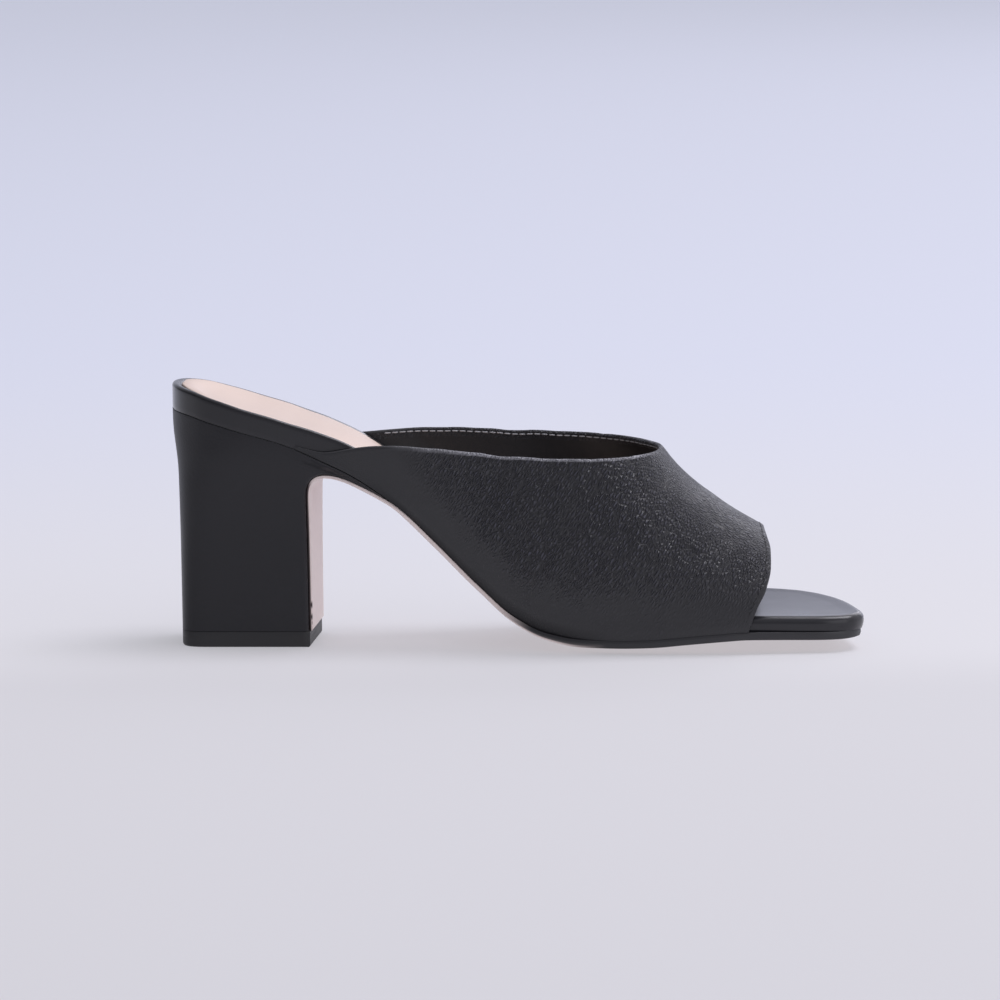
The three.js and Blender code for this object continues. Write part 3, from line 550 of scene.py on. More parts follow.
    def heel_edge(self, x, z, side):
        h = z / self.size.heel_height
        back = self.to_x(self.heel_back(h))
        length = self.heel_round(h) * self.size.seat_width
        into = np.clip((back + length - x) / length, 0, 1)
        n = self.heel_square(h)
        block = self.heel_half(h) * self.size.seat_width * (1 - into ** n) ** (1 / n)
        s = np.maximum(0.0005, self.to_s(x))
        under = smooth((s - 0.17) / 0.05) * (self.size.clear + self.size.wall)
        seat = np.where(side < 0, -self.medial(s), self.lateral(s)) + under
        plain = mix(block, seat, smooth((h - 0.72) / 0.22))
        lip_z = self.lip(s) * self.size.heel_height
        low = np.abs(self.sole_edge(s, np.minimum(z, lip_z), side)) + self.size.clear
        lip = mix(low, seat, smooth((z - lip_z) / np.maximum(MM, self.seat(s) - lip_z)))
        return mix(plain, lip, smooth((s - 0.165) / 0.07))

    def sole_path(self, count):
        """Inner face of the outsole in side view, from the toe along the waist and down the breast."""
        s = unbend(np.linspace(0.985, bend(0.335), 140))
        x = self.to_x(s) - self.size.toe_tuck * smooth((s - 0.9) / 0.1)
        z = self.seat(s) - self.size.clear
        end = np.array([[self.to_x(LIP["s"][-1]), self.size.top_piece, LIP["s"][-1]]])
        lip = np.stack([self.to_x(LIP["s"]), LIP["z"] * self.size.heel_height, LIP["s"]], axis=1)
        points = np.concatenate([np.stack([x, z, s], axis=1), lip, end])
        run = lengths(points[:, :2])
        fine = np.linspace(0, run[-1], 1200)
        path = np.stack([np.interp(fine, run, points[:, k]) for k in range(3)], axis=1)
        kernel = np.exp(-0.5 * (np.arange(-12, 13) / 5) ** 2)
        kernel /= kernel.sum()
        padded = np.pad(path, ((12, 12), (0, 0)), "edge")
        soft = np.stack([np.convolve(padded[:, k], kernel, "valid") for k in range(3)], axis=1)
        soft[:15], soft[-15:] = path[:15], path[-15:]
        picks = np.round(np.linspace(0, 1199, count)).astype(int)
        return soft[picks]


# Meshes

low_top, high_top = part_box("top_piece")
ORIGIN = np.array([0.0, (low_top.y + high_top.y) / 2, 0.0])


def grid_faces(rows, columns, closed_rows=False, closed_columns=False, start=0):
    """Quads over a grid of points numbered row by row."""
    r = np.arange(rows if closed_rows else rows - 1)
    c = np.arange(columns if closed_columns else columns - 1)
    rr, cc = np.meshgrid(r, c, indexing="ij")
    nr, nc = (rr + 1) % rows, (cc + 1) % columns
    quads = np.stack([rr * columns + cc, rr * columns + nc, nr * columns + nc, nr * columns + cc], axis=-1)
    return (quads.reshape(-1, 4) + start).tolist()


def make_piece(name, points, faces, materials, replaced=(), marks=None, places=None, angle=50):
    """A mesh object from points in the source's frame, merged, turned outwards and given to the shoe."""
    mesh = bpy.data.meshes.new(name)
    mesh.from_pydata((np.asarray(points, float) + ORIGIN).tolist(), [], faces)
    for label, values in (marks or {}).items():
        layer = mesh.attributes.new(label, "FLOAT", "POINT")
        layer.data.foreach_set("value", np.asarray(values, np.float32))
    for material in materials:
        mesh.materials.append(material)
    if places is not None:
        mesh.polygons.foreach_set("material_index", np.asarray(places, np.int32))
    work = bmesh.new()
    work.from_mesh(mesh)
    bmesh.ops.remove_doubles(work, verts=work.verts, dist=2e-6)
    bmesh.ops.recalc_face_normals(work, faces=work.faces)
    work.to_mesh(mesh)
    work.free()
    mesh.shade_smooth()
    mesh.set_sharp_from_angle(angle=math.radians(angle))
    piece = bpy.data.objects.new(name, mesh)
    bpy.context.scene.collection.objects.link(piece)
    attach(piece, "root")
    if replaced:
        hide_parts(*replaced)
    return piece


def inset(loop, distance):
    """The loop moved inwards by a distance, along the normal at each point."""
    along = np.roll(loop, -1, axis=0) - np.roll(loop, 1, axis=0)
    along /= np.maximum(1e-9, np.linalg.norm(along, axis=1, keepdims=True))
    distance = np.broadcast_to(np.asarray(distance, float), (len(loop),))
    return loop + np.stack([-along[:, 1], along[:, 0]], axis=1) * distance[:, None]


def lengths(points):
    """Way along a line of points, from 0 at its first."""
    return np.concatenate([[0], np.cumsum(np.linalg.norm(np.diff(points, axis=0), axis=1))])


def tangents(path):
    """Unit direction along a path in side view."""
    along = np.gradient(path[:, :2], axis=0)
    return along / np.linalg.norm(along, axis=1, keepdims=True)


def middle_of_bed(last, ends):
    """The footbed's middle line between two places, which closing rings shrink to."""
    def spine(middle):
        x = np.clip(middle[:, 0], ends[0], ends[1])
        p = last.to_s(x)
        return np.stack([x, (last.medial(p) + last.lateral(p)) / 2], axis=1)
    return spine


def loop_of(x, a, b):
    """Medial side from the back to the toe, lateral side on the way home."""
    return np.concatenate([np.stack([x, a], axis=1), np.stack([x, b], axis=1)[::-1]])


def pad(rings, spine, fills_low, fills_high):
    """Rings closed at both ends by rings that shrink to a middle line. Returns points and faces."""
    def shrunk(ring, f):
        partner = ring[::-1]
        return mix(ring[:, :2], spine((ring[:, :2] + partner[:, :2]) / 2), f)

    first, last = rings[0], rings[-1]
    made = [first[1](shrunk(first[0], f)) for f in fills_low[::-1]]
    made += [place(flat) for flat, place in rings]
    made += [last[1](shrunk(last[0], f)) for f in fills_high]
    stack = np.array(made)
    return stack.reshape(-1, 3), grid_faces(len(made), stack.shape[1], closed_columns=True), len(made)


# Materials

def add(tree, kind, inputs=None, **settings):
    """One node, with its settings, and its inputs as values or as links."""
    made = tree.nodes.new(kind)
    for name, value in settings.items():
        setattr(made, name, value)
    for name, value in (inputs or {}).items():
        if isinstance(value, bpy.types.NodeSocket):
            tree.links.new(value, made.inputs[name])
        else:
            made.inputs[name].default_value = value
    return made


def new_material(name):
    material = bpy.data.materials.new(name)
    material.use_nodes = True
    material.node_tree.nodes.clear()
    return material, material.node_tree


def finish_material(tree, inputs):
    shader = add(tree, "ShaderNodeBsdfPrincipled", inputs)
    add(tree, "ShaderNodeOutputMaterial", {"Surface": shader.outputs["BSDF"]})


def rgba(colour):
    return (*colour, 1.0)


def pebbles(tree, place, pebble, angle, stretch, seed):
    """Height of one family of pebbles, 0 in the valleys and 1 on top, drawn out at an angle in side view."""
    turned = add(tree, "ShaderNodeVectorRotate", {"Vector": place, "Angle": angle}, rotation_type="Y_AXIS")
    scaled = add(tree, "ShaderNodeMapping", {
        "Vector": turned.outputs["Vector"],
        "Location": (seed, seed, seed),
        "Scale": (1 / (pebble * stretch), 1 / (pebble * 1.5), 1 / pebble),
    })
    sway = add(tree, "ShaderNodeTexNoise", {"Vector": scaled.outputs["Vector"], "Scale": 0.8, "Detail": 2.0})
    moved = add(tree, "ShaderNodeMix", {
        "Factor": 0.35, "A": scaled.outputs["Vector"], "B": sway.outputs["Color"],
    }, data_type="VECTOR")
    bent = add(tree, "ShaderNodeVectorMath", {
        0: scaled.outputs["Vector"], 1: moved.outputs["Result"],
    }, operation="ADD")
    cells = add(tree, "ShaderNodeTexVoronoi", {
        "Vector": bent.outputs["Vector"], "Scale": 0.6, "Randomness": 1.0,
    }, feature="DISTANCE_TO_EDGE")
    return add(tree, "ShaderNodeMapRange", {
        "Value": cells.outputs["Distance"], "From Min": 0.0, "From Max": 0.36,
    }, interpolation_type="SMOOTHSTEP").outputs["Result"]


def grain_leather(sizes, colours):
    """Tumbled calf, pigmented black: soft pebbles drawn into short wrinkles, with a satin sheen on top; the
    pebble tops carry a painted highlight, the near rolled topline a painted highlight, and the tucked-under
    bottom a painted shade.
    """
    material, tree = new_material("tumbled calf, black")
    place = add(tree, "ShaderNodeTexCoord").outputs["Object"]
    steep = pebbles(tree, place, sizes.pebble * 0.92, math.radians(58), 2.8, 3.1)
    flat = pebbles(tree, place, sizes.pebble * 0.8, math.radians(-30), 3.0, 7.7)
    lying = add(tree, "ShaderNodeAttribute", attribute_name="lying").outputs["Fac"]
    strong = add(tree, "ShaderNodeAttribute", attribute_name="grain").outputs["Fac"]
    height = add(tree, "ShaderNodeMix", {"Factor": lying, "A": steep, "B": flat}, data_type="FLOAT")
    patchy = add(tree, "ShaderNodeTexNoise", {"Vector": place, "Scale": 95.0, "Detail": 2.0})
    patch = add(tree, "ShaderNodeMapRange", {
        "Value": patchy.outputs["Fac"], "From Min": 0.3, "From Max": 0.7, "To Min": 0.35, "To Max": 1.15,
    })
    depth = add(tree, "ShaderNodeMath", {0: strong, 1: patch.outputs["Result"]}, operation="MULTIPLY")
    pores = add(tree, "ShaderNodeTexNoise", {"Vector": place, "Scale": 2600.0, "Detail": 2.0})
    raised = add(tree, "ShaderNodeMath", {0: height.outputs["Result"], 1: depth.outputs["Value"]},
                 operation="MULTIPLY")
    rubbed = add(tree, "ShaderNodeAttribute", attribute_name="rubbed").outputs["Fac"]
    fine = add(tree, "ShaderNodeMath", {0: pores.outputs["Fac"], 1: 0.1, 2: raised.outputs["Value"]},
               operation="MULTIPLY_ADD")
    bump = add(tree, "ShaderNodeBump", {"Strength": 1.0, "Distance": 0.0009, "Height": fine.outputs["Value"]})
    # Painted highlight: raised pebble tops are mixed toward the lighter colour.
    tops = add(tree, "ShaderNodeMath", {0: raised.outputs["Value"], 1: 0.8}, operation="MULTIPLY",
               use_clamp=True)
    colour = add(tree, "ShaderNodeMix", {
        "Factor": tops.outputs["Value"], "A": rgba(colours.leather), "B": rgba(colours.pebble_highlight),
    }, data_type="RGBA")
    highlight_breaks = add(tree, "ShaderNodeMath", {0: patchy.outputs["Fac"], 1: 1.5, 2: -0.2}, operation="MULTIPLY_ADD",
               use_clamp=True)
    # Painted shade: where the upper tucks under at the waist, the colour is mixed toward the dark lining
    # colour and the reflection is turned down.
    tucked = add(tree, "ShaderNodeAttribute", attribute_name="tucked").outputs["Fac"]
    dull = add(tree, "ShaderNodeMapRange", {
        "Value": tucked, "From Min": 0.0, "From Max": 1.0, "To Min": 0.5, "To Max": 0.12,
    })
    under = add(tree, "ShaderNodeMath", {0: tucked, 1: 0.75}, operation="MULTIPLY")
    # Painted highlight on the rolled topline, broken into patches by noise.
    rim_highlight_mask = add(tree, "ShaderNodeMath", {0: rubbed, 1: highlight_breaks.outputs["Value"]}, operation="MULTIPLY")
    shown = add(tree, "ShaderNodeMix", {
        "Factor": rim_highlight_mask.outputs["Value"], "A": colour.outputs["Result"], "B": rgba(colours.rubbed),
    }, data_type="RGBA")
    shaded = add(tree, "ShaderNodeMix", {
        "Factor": under.outputs["Value"], "A": shown.outputs["Result"], "B": rgba(colours.lining),
    }, data_type="RGBA")
    rough = add(tree, "ShaderNodeMapRange", {
        "Value": patchy.outputs["Fac"], "From Min": 0.3, "From Max": 0.7, "To Min": 0.33, "To Max": 0.42,
    })
    finish_material(tree, {
        "Base Color": shaded.outputs["Result"], "Specular IOR Level": dull.outputs["Result"],
        "Roughness": rough.outputs["Result"], "Normal": bump.outputs["Normal"], "IOR": 1.5,
        "Sheen Weight": 0.06, "Sheen Roughness": 0.4,
    })
    return material


def smooth_leather(name, colour, roughness, pore=1500.0, depth=0.00003, gloss=0.5, wax=0.0):
    """Calf pressed smooth over a board or block: even, satin, with fine pores and faint cloudy handling."""
    material, tree = new_material(name)
    place = add(tree, "ShaderNodeTexCoord").outputs["Object"]
    pores = add(tree, "ShaderNodeTexVoronoi", {"Vector": place, "Scale": pore, "Randomness": 1.0})
    cloud = add(tree, "ShaderNodeTexNoise", {"Vector": place, "Scale": 38.0, "Detail": 3.0})
    bump = add(tree, "ShaderNodeBump", {
        "Strength": 0.6, "Distance": depth, "Height": pores.outputs["Distance"],
    })
    rough = add(tree, "ShaderNodeMapRange", {
        "Value": cloud.outputs["Fac"], "From Min": 0.3, "From Max": 0.7,
        "To Min": roughness - 0.04, "To Max": roughness + 0.05,
    })
    tint = add(tree, "ShaderNodeMix", {
        "Factor": cloud.outputs["Fac"], "A": rgba(tuple(c * 0.92 for c in colour)),
        "B": rgba(tuple(min(1, c * 1.08) for c in colour)),
    }, data_type="RGBA")
    finish_material(tree, {
        "Base Color": tint.outputs["Result"], "Roughness": rough.outputs["Result"],
        "Normal": bump.outputs["Normal"], "IOR": 1.5, "Specular IOR Level": gloss,
        "Coat Weight": wax, "Coat Roughness": 0.2, "Sheen Weight": 0.35 * wax, "Sheen Roughness": 0.25,
    })
    return material


def sole_leather(colours):
    """Thin sole leather, lacquered blush, its edge inked black at the forefoot where the mark says so."""
    material, tree = new_material("lacquered sole leather, blush")
    place = add(tree, "ShaderNodeTexCoord").outputs["Object"]
    fibre = add(tree, "ShaderNodeTexNoise", {"Vector": place, "Scale": 420.0, "Detail": 3.0})
    inked = add(tree, "ShaderNodeAttribute", attribute_name="ink").outputs["Fac"]
    tint = add(tree, "ShaderNodeMix", {
        "Factor": fibre.outputs["Fac"], "A": rgba(tuple(c * 0.93 for c in colours.sole)),
        "B": rgba(tuple(min(1, c * 1.05) for c in colours.sole)),
    }, data_type="RGBA")
    trimmed = add(tree, "ShaderNodeAttribute", attribute_name="cut").outputs["Fac"]
    marked = trimmed
    for x, y, z, radius in zip(SCUFFS["x"], SCUFFS["y"], SCUFFS["z"], SCUFFS["radius"]):
        spot_place = (x * MM, y * MM, z * MM)
        away = add(tree, "ShaderNodeVectorMath", {0: place, 1: spot_place}, operation="DISTANCE")
        spot = add(tree, "ShaderNodeMapRange", {
            "Value": away.outputs["Value"], "From Min": radius * MM, "From Max": radius * MM * 0.4,
        })
        marked = add(tree, "ShaderNodeMath", {0: marked, 1: spot.outputs["Result"]}, operation="MAXIMUM")
        marked = marked.outputs["Value"]
    edged = add(tree, "ShaderNodeMix", {
        "Factor": marked, "A": tint.outputs["Result"], "B": rgba(colours.cut),
    }, data_type="RGBA")
    colour = add(tree, "ShaderNodeMix", {
        "Factor": inked, "A": edged.outputs["Result"], "B": rgba(colours.ink),
    }, data_type="RGBA")
    bump = add(tree, "ShaderNodeBump", {"Strength": 0.3, "Distance": 0.00003, "Height": fibre.outputs["Fac"]})
    finish_material(tree, {
        "Base Color": colour.outputs["Result"], "Roughness": 0.42,
        "Normal": bump.outputs["Normal"], "IOR": 1.5,
    })
    return material


def hard_rubber(colours):
    """Pressed rubber, cut and buffed: matt black with faint level buffing marks."""
    material, tree = new_material("buffed rubber, black")
    place = add(tree, "ShaderNodeTexCoord").outputs["Object"]
    level = add(tree, "ShaderNodeMapping", {"Vector": place, "Scale": (60.0, 60.0, 3200.0)})
    marks = add(tree, "ShaderNodeTexNoise", {"Vector": level.outputs["Vector"], "Scale": 1.0, "Detail": 3.0})
    bump = add(tree, "ShaderNodeBump", {"Strength": 0.4, "Distance": 0.00003, "Height": marks.outputs["Fac"]})
    rough = add(tree, "ShaderNodeMapRange", {
        "Value": marks.outputs["Fac"], "From Min": 0.3, "From Max": 0.7, "To Min": 0.44, "To Max": 0.56,
    })
    tint = add(tree, "ShaderNodeMix", {
        "Factor": marks.outputs["Fac"], "A": rgba(tuple(c * 0.85 for c in colours.rubber)),
        "B": rgba(tuple(c * 1.2 for c in colours.rubber)),
    }, data_type="RGBA")
    finish_material(tree, {
        "Base Color": tint.outputs["Result"], "Roughness": rough.outputs["Result"],
        "Normal": bump.outputs["Normal"], "IOR": 1.5,
    })
    return material


def spun_thread(name, colour):
    """Bonded polyester thread: twisted, with a soft gloss."""
    material, tree = new_material(name)
    place = add(tree, "ShaderNodeTexCoord").outputs["Object"]
    twist = add(tree, "ShaderNodeTexWave", {"Vector": place, "Scale": 900.0, "Distortion": 1.0})
    bump = add(tree, "ShaderNodeBump", {"Strength": 0.4, "Distance": 0.00005, "Height": twist.outputs["Fac"]})
    tint = add(tree, "ShaderNodeMix", {
        "Factor": twist.outputs["Fac"], "A": rgba(tuple(c * 0.8 for c in colour)),
        "B": rgba(tuple(min(1, c * 1.15) for c in colour)),
    }, data_type="RGBA")
    finish_material(tree, {
        "Base Color": tint.outputs["Result"], "Roughness": 0.5, "Normal": bump.outputs["Normal"],
    })
    return material


def studio_paper(colours):
    """Seamless matt paper: neutral in front, cooler behind, with a glow, a painted light that keeps shadows
    faint; the glow is weaker just in front of the shoe, a painted shade there.
    """
    material, tree = new_material("seamless studio paper")
    place = add(tree, "ShaderNodeTexCoord").outputs["Object"]
    parts = add(tree, "ShaderNodeSeparateXYZ", {"Vector": place})
    back = add(tree, "ShaderNodeMapRange", {
        "Value": parts.outputs["Y"], "From Min": -0.1, "From Max": 0.9,
    }, interpolation_type="SMOOTHSTEP")
    tooth = add(tree, "ShaderNodeTexNoise", {"Vector": place, "Scale": 900.0, "Detail": 2.0})
    colour = add(tree, "ShaderNodeMix", {
        "Factor": back.outputs["Result"], "A": rgba(colours.floor), "B": rgba(colours.far),
    }, data_type="RGBA")
    bump = add(tree, "ShaderNodeBump", {
        "Strength": 0.05, "Distance": 0.00002, "Height": tooth.outputs["Fac"],
    })
    # Painted light: the paper glows, filling in the shoe's shadows, and glows less in front of the shoe as a
    # painted shade.
    glow = add(tree, "ShaderNodeMapRange", {
        "Value": parts.outputs["Y"], "From Min": -0.12, "From Max": -0.01, "To Min": 0.38, "To Max": 0.445,
    }, interpolation_type="SMOOTHSTEP")
    lit = add(tree, "ShaderNodeMix", {
        "Factor": 0.5, "A": colour.outputs["Result"], "B": (0.0, 0.0, 0.0, 1.0),
    }, data_type="RGBA")
    finish_material(tree, {
        "Base Color": lit.outputs["Result"], "Roughness": 0.9, "Normal": bump.outputs["Normal"],
        "Specular IOR Level": 0.2, "Emission Color": colour.outputs["Result"],
        "Emission Strength": glow.outputs["Result"],
    })
    return material


# Pieces

def near_line(points, line):
    """Distance from each point to a polyline, and the way along it from 0 to 1."""
    flat = points.reshape(-1, 3)
    best = np.full(len(flat), 1e9)
    way = np.zeros(len(flat))
    for k in range(len(line) - 1):
        a, d = line[k], line[k + 1] - line[k]
        f = np.clip((flat - a) @ d / max(1e-12, d @ d), 0, 1)
        gap = np.linalg.norm(flat - (a + f[:, None] * d), axis=1)
        nearer = gap < best
        best = np.where(nearer, gap, best)
        way = np.where(nearer, (k + f) / (len(line) - 1), way)
    return best.reshape(points.shape[:-1]), way.reshape(points.shape[:-1])


def crease_depth(last, points):
    """Depth of the soft creases at each point: a trough with a low ridge on either side."""
    depth = np.zeros(points.shape[:-1])
    for k in range(len(CREASES["s0"])):
        f = np.linspace(0, 1, 9)
        line = last.skin(mix(CREASES["s0"][k], CREASES["s1"][k], f),
                         mix(CREASES["t0"][k], CREASES["t1"][k], f))
        gap, way = near_line(points, line)
        r = (gap / (CREASES["wide"][k] * MM)) ** 2
        ends = np.sin(math.pi * np.clip(way, 0, 1)) ** 0.6
        depth += CREASES["deep"][k] * last.size.wall * (1 - 1.1 * r) * np.exp(-r) * ends
    return depth


class Shell:
    """The upper as a dressed wall: outer face, rolled topline, lining and rolled front edge."""

    def __init__(self, last):
        size = last.size
        u = np.linspace(0, 1, AROUND + 1)
        v = np.linspace(0, 1, ALONG + 1)
        self.u = u
        s, t = last.spread(u[None, :], v[:, None])
        face = last.skin(s, t)
        normal = last.skin_normal(s, t)
        self.body = mix(0.05, 1, smooth((s - TOPLINE["s"][0]) / 0.06))[..., None]
        half = size.wall / 2 * self.body[:1]
        out_top = self.outward(face[0], normal[0], face[1])
        out_front = self.outward(face[-1], normal[-1], face[-2])
        fall = (1 - v[:, None, None]) ** 6
        rise = v[:, None, None] ** 10
        face = face - out_top[None] * half * fall - out_front[None] * half[:, -1:] * rise
        inner = face - normal * size.wall
        over = face[..., 2] - last.seat(s)
        tuck = smooth((s - 0.3) / 0.07) * mix(1.0, 0.35, smooth((s - 0.53) / 0.12)) * size.wall
        pull = tuck * np.clip(1 - over / (mix(3.0, 1.9, smooth((s - 0.5) / 0.1)) * size.wall), 0, 1) ** 2
        side = np.where(t < 0.5, 1, -1)
        dip = crease_depth(last, face)
        outer = face - normal * (dip[..., None] + (1 - self.body) * size.wall)
        outer[..., 1] += side * pull
        inner[:, 0, 1] = last.medial(s[:, 0]) - size.clear
        inner[:, -1, 1] = last.lateral(s[:, -1]) + size.clear
        inner[:, 0, 2], inner[:, -1, 2] = face[:, 0, 2], face[:, -1, 2]
        self.outer, self.inner, self.normal, self.s, self.t = outer, inner, normal, s, t
        turns = np.linspace(0, math.pi, 9)[1:-1]
        self.top_roll = self.roll(outer[0], inner[0], out_top, turns)
        self.front_roll = self.roll(outer[-1], inner[-1], out_front, turns)

    @staticmethod
    def outward(edge, normal, inside):
        """Direction beyond an edge, square to it and lying in the surface."""
        along = np.gradient(edge, axis=0)
        out = np.cross(along, normal)
        out /= np.maximum(1e-12, np.linalg.norm(out, axis=1, keepdims=True))
        away = np.sum(out * (edge - inside), axis=1, keepdims=True)
        middle = np.sign(np.median(away))
        return out * middle

    @staticmethod
    def roll(outer, inner, out, turns):
        middle, arm = (outer + inner) / 2, (outer - inner) / 2
        reach = np.linalg.norm(arm, axis=1, keepdims=True)
        return np.array([middle + arm * math.cos(a) + out * reach * math.sin(a) for a in turns])


def build_upper(context):
    last = Last(context.scene.mule_sizes)
    colours = context.scene.mule_colours
    shell = Shell(last)
    rows = np.concatenate([shell.outer[::-1], shell.top_roll, shell.inner, shell.front_roll[::-1]])
    count, columns = rows.shape[:2]
    faces = grid_faces(count, columns, closed_rows=True)
    turned = len(shell.top_roll)
    for column in (0, columns - 1):
        for j in range(ALONG):
            a, b = (ALONG - j) * columns + column, (ALONG - j - 1) * columns + column
            c, d = (ALONG + turned + j + 2) * columns + column, (ALONG + turned + j + 1) * columns + column
            faces.append((a, b, c, d))
        top = [(ALONG + k) * columns + column for k in range(turned + 2)]
        front = [(count - turned - 1 + k) % count * columns + column for k in range(turned + 2)]
        faces += [tuple(top), tuple(front)]
    s, t = (np.concatenate([grid[::-1], np.tile(grid[0], (turned, 1)), grid, np.tile(grid[-1], (turned, 1))])
            for grid in (shell.s, shell.t))
    over = rows[..., 2] - last.seat(s)
    lower = np.where(t < 0.5, smooth((over - 6 * MM) / (26 * MM)), smooth((over - 4 * MM) / (20 * MM)))
    grain = smooth((s - 0.3) / 0.2) * mix(0.1, 1, lower)
    lying = smooth((s - 0.72) / 0.07) * smooth((t - 0.24) / 0.1) * smooth((0.76 - t) / 0.1)
    topline = shell.outer[0]
    inside = np.arange(count)[:, None] >= ALONG + 1 + turned
    gap, _ = near_line(rows[ALONG + 1 + turned:count - turned], topline[::2])
    lining = np.zeros((count, columns), bool)
    lining[ALONG + 1 + turned:count - turned] = gap > 2.6 * MM
    grain = np.where(np.broadcast_to(inside, grain.shape), 0.15, grain)
    # Painted shade along the bottom of the upper where it tucks under onto the sole, strongest over the waist.
    low = np.where(over < 0, 1, smooth(1 - over / (3.4 * MM)))
    tucked = low * smooth((s - 0.27) / 0.08) * smooth((0.66 - s) / 0.12)
    # Painted highlight: a pale band over the rolled topline, on the near (medial) side only.
    rubbed = np.zeros((count, columns))
    band = np.sin(math.pi * np.linspace(0.25, 0.95, turned + 3)) ** 2
    rubbed[ALONG - 1:ALONG + turned + 2] = band[:, None]
    rubbed *= smooth((0.49 - shell.u) / 0.1) * smooth((shell.u - 0.09) / 0.1)
    flags = lining.reshape(-1)
    places = [int(sum(flags[k] for k in face) > len(face) / 2) for face in faces]
    leather = grain_leather(last.size, colours)
    lining_leather = smooth_leather("drum-dyed lining kid, black", colours.lining, 0.5, pore=1900.0)
    return make_piece(
        "upper_dressed", rows.reshape(-1, 3), faces, [leather, lining_leather], ["upper"],
        {"grain": grain.reshape(-1), "lying": lying.reshape(-1), "rubbed": rubbed.reshape(-1),
         "tucked": tucked.reshape(-1)}, places, angle=60,
    )


def build_footbed(context):
    last = Last(context.scene.mule_sizes)
    colours = context.scene.mule_colours
    s = unbend(np.linspace(0.006, 0.994, 150))
    loop = loop_of(last.to_x(s), last.medial(s), last.lateral(s))
    share = np.concatenate([s, s[::-1]])
    spine = middle_of_bed(last, last.to_x(np.array([0.1, 0.93])))
    radius = mix(HEEL_ROLL, TOE_ROLL, smooth((share - 0.5) / 0.2)) * MM
    lean = TOE_LEAN * MM * smooth((share - 0.55) / 0.25)

    def low(depth):
        def place(flat):
            base = last.under_z(share, loop[:, 1]) - BED_DROP * MM
            top = last.rim_z(share, loop[:, 1]) - radius
            under = last.under_z(last.to_s(flat[:, 0]), flat[:, 1]) - BED_DROP * MM
            z = mix(under, mix(base, top, depth), 1 if depth > 0.1 else 0)
            return np.column_stack([flat, z])
        return place

    def rolled(angle):
        def place(flat):
            z = last.rim_z(share, loop[:, 1]) - radius * (1 - math.sin(angle))
            return np.column_stack([flat, z])
        return place

    def bed(f):
        def place(flat):
            top = last.top_z(last.to_s(flat[:, 0]), flat[:, 1])
            return np.column_stack([flat, mix(last.rim_z(share, loop[:, 1]), top, f)])
        return place

    rings = [
        (inset(loop, lean + 0.35 * MM), low(0.0)),
        (inset(loop, 0.95 * lean + 0.08 * MM), low(0.04)),
        (inset(loop, 0.85 * lean), low(0.11)),
        (inset(loop, 0.6 * lean), low(0.25)),
        (inset(loop, 0.32 * lean), low(0.42)),
        (inset(loop, 0.12 * lean), low(0.62)),
        (loop, low(0.82)),
    ]
    for angle in np.radians([0, 15, 30, 45, 60, 75, 90]):
        rings.append((inset(loop, radius * (1 - math.cos(angle))), rolled(angle)))
    for f, extra in ((0.02, 0.3), (0.15, 0.8), (0.38, 1.5), (0.62, 2.3), (0.85, 3.2), (1.0, 4.2)):
        rings.append((inset(loop, radius + extra * MM), bed(f)))
    fills = [0.06, 0.14, 0.24, 0.36, 0.5, 0.65, 0.8, 0.92, 1.0]
    points, faces, _ = pad(rings, spine, [0.3, 0.65, 1.0], fills)
    leather = smooth_leather("smooth calf over board, black", colours.block, 0.3, depth=0.000006, gloss=0.1,
                             wax=0.8)
    return make_piece("footbed_wrapped", points, faces, [leather], ["insole"], angle=60)


def build_sock(context):
    last = Last(context.scene.mule_sizes)
    colours = context.scene.mule_colours
    size = last.size
    s = unbend(np.linspace(0.03, bend(size.sock_length / size.length), 130))
    loop = loop_of(last.to_x(s), last.medial(s), last.lateral(s))
    share = np.concatenate([s, s[::-1]])
    side = np.concatenate([np.zeros(len(s)), np.ones(len(s))])
    away = mix(mix(1.7, 1.5, side), 3.1, smooth((0.05 - share) / 0.05)) * MM
    edge = inset(loop, away)
    edge[len(s) - 1, 0] = edge[len(s), 0] = loop[len(s), 0]
    spine = middle_of_bed(last, last.to_x(np.array([0.1, s[-1]])))

    def place(rise):
        def at(flat):
            p = last.to_s(flat[:, 0])
            inwards = np.linalg.norm(flat - edge, axis=1)
            brim = last.rim_z(share, loop[:, 1]) - 0.12 * MM
            face = mix(brim, last.top_z(p, flat[:, 1]) + 0.5 * MM, smooth(inwards / (8 * MM)))
            return np.column_stack([flat, face - SOCK_DEPTH * MM * (1 - rise)])
        return at

    rings = [
        (edge, place(-0.4)),
        (edge, place(0.3)),
        (inset(edge, 0.02 * MM), place(0.6)),
        (inset(edge, 0.09 * MM), place(0.82)),
        (inset(edge, 0.22 * MM), place(0.95)),
        (inset(edge, 0.4 * MM), place(1.0)),
        (inset(edge, 0.9 * MM), place(1.0)),
        (inset(edge, 1.8 * MM), place(1.0)),
    ]
    fills = [0.05, 0.12, 0.2, 0.3, 0.42, 0.55, 0.7, 0.85, 1.0]
    points, faces, _ = pad(rings, spine, [1.0], fills)
    leather = smooth_leather("aniline sock kid, blush", colours.sock, 0.5, pore=1100.0, depth=0.00004)
    return make_piece("sock_blush", points, faces, [leather], ["sock_lining"], angle=60)


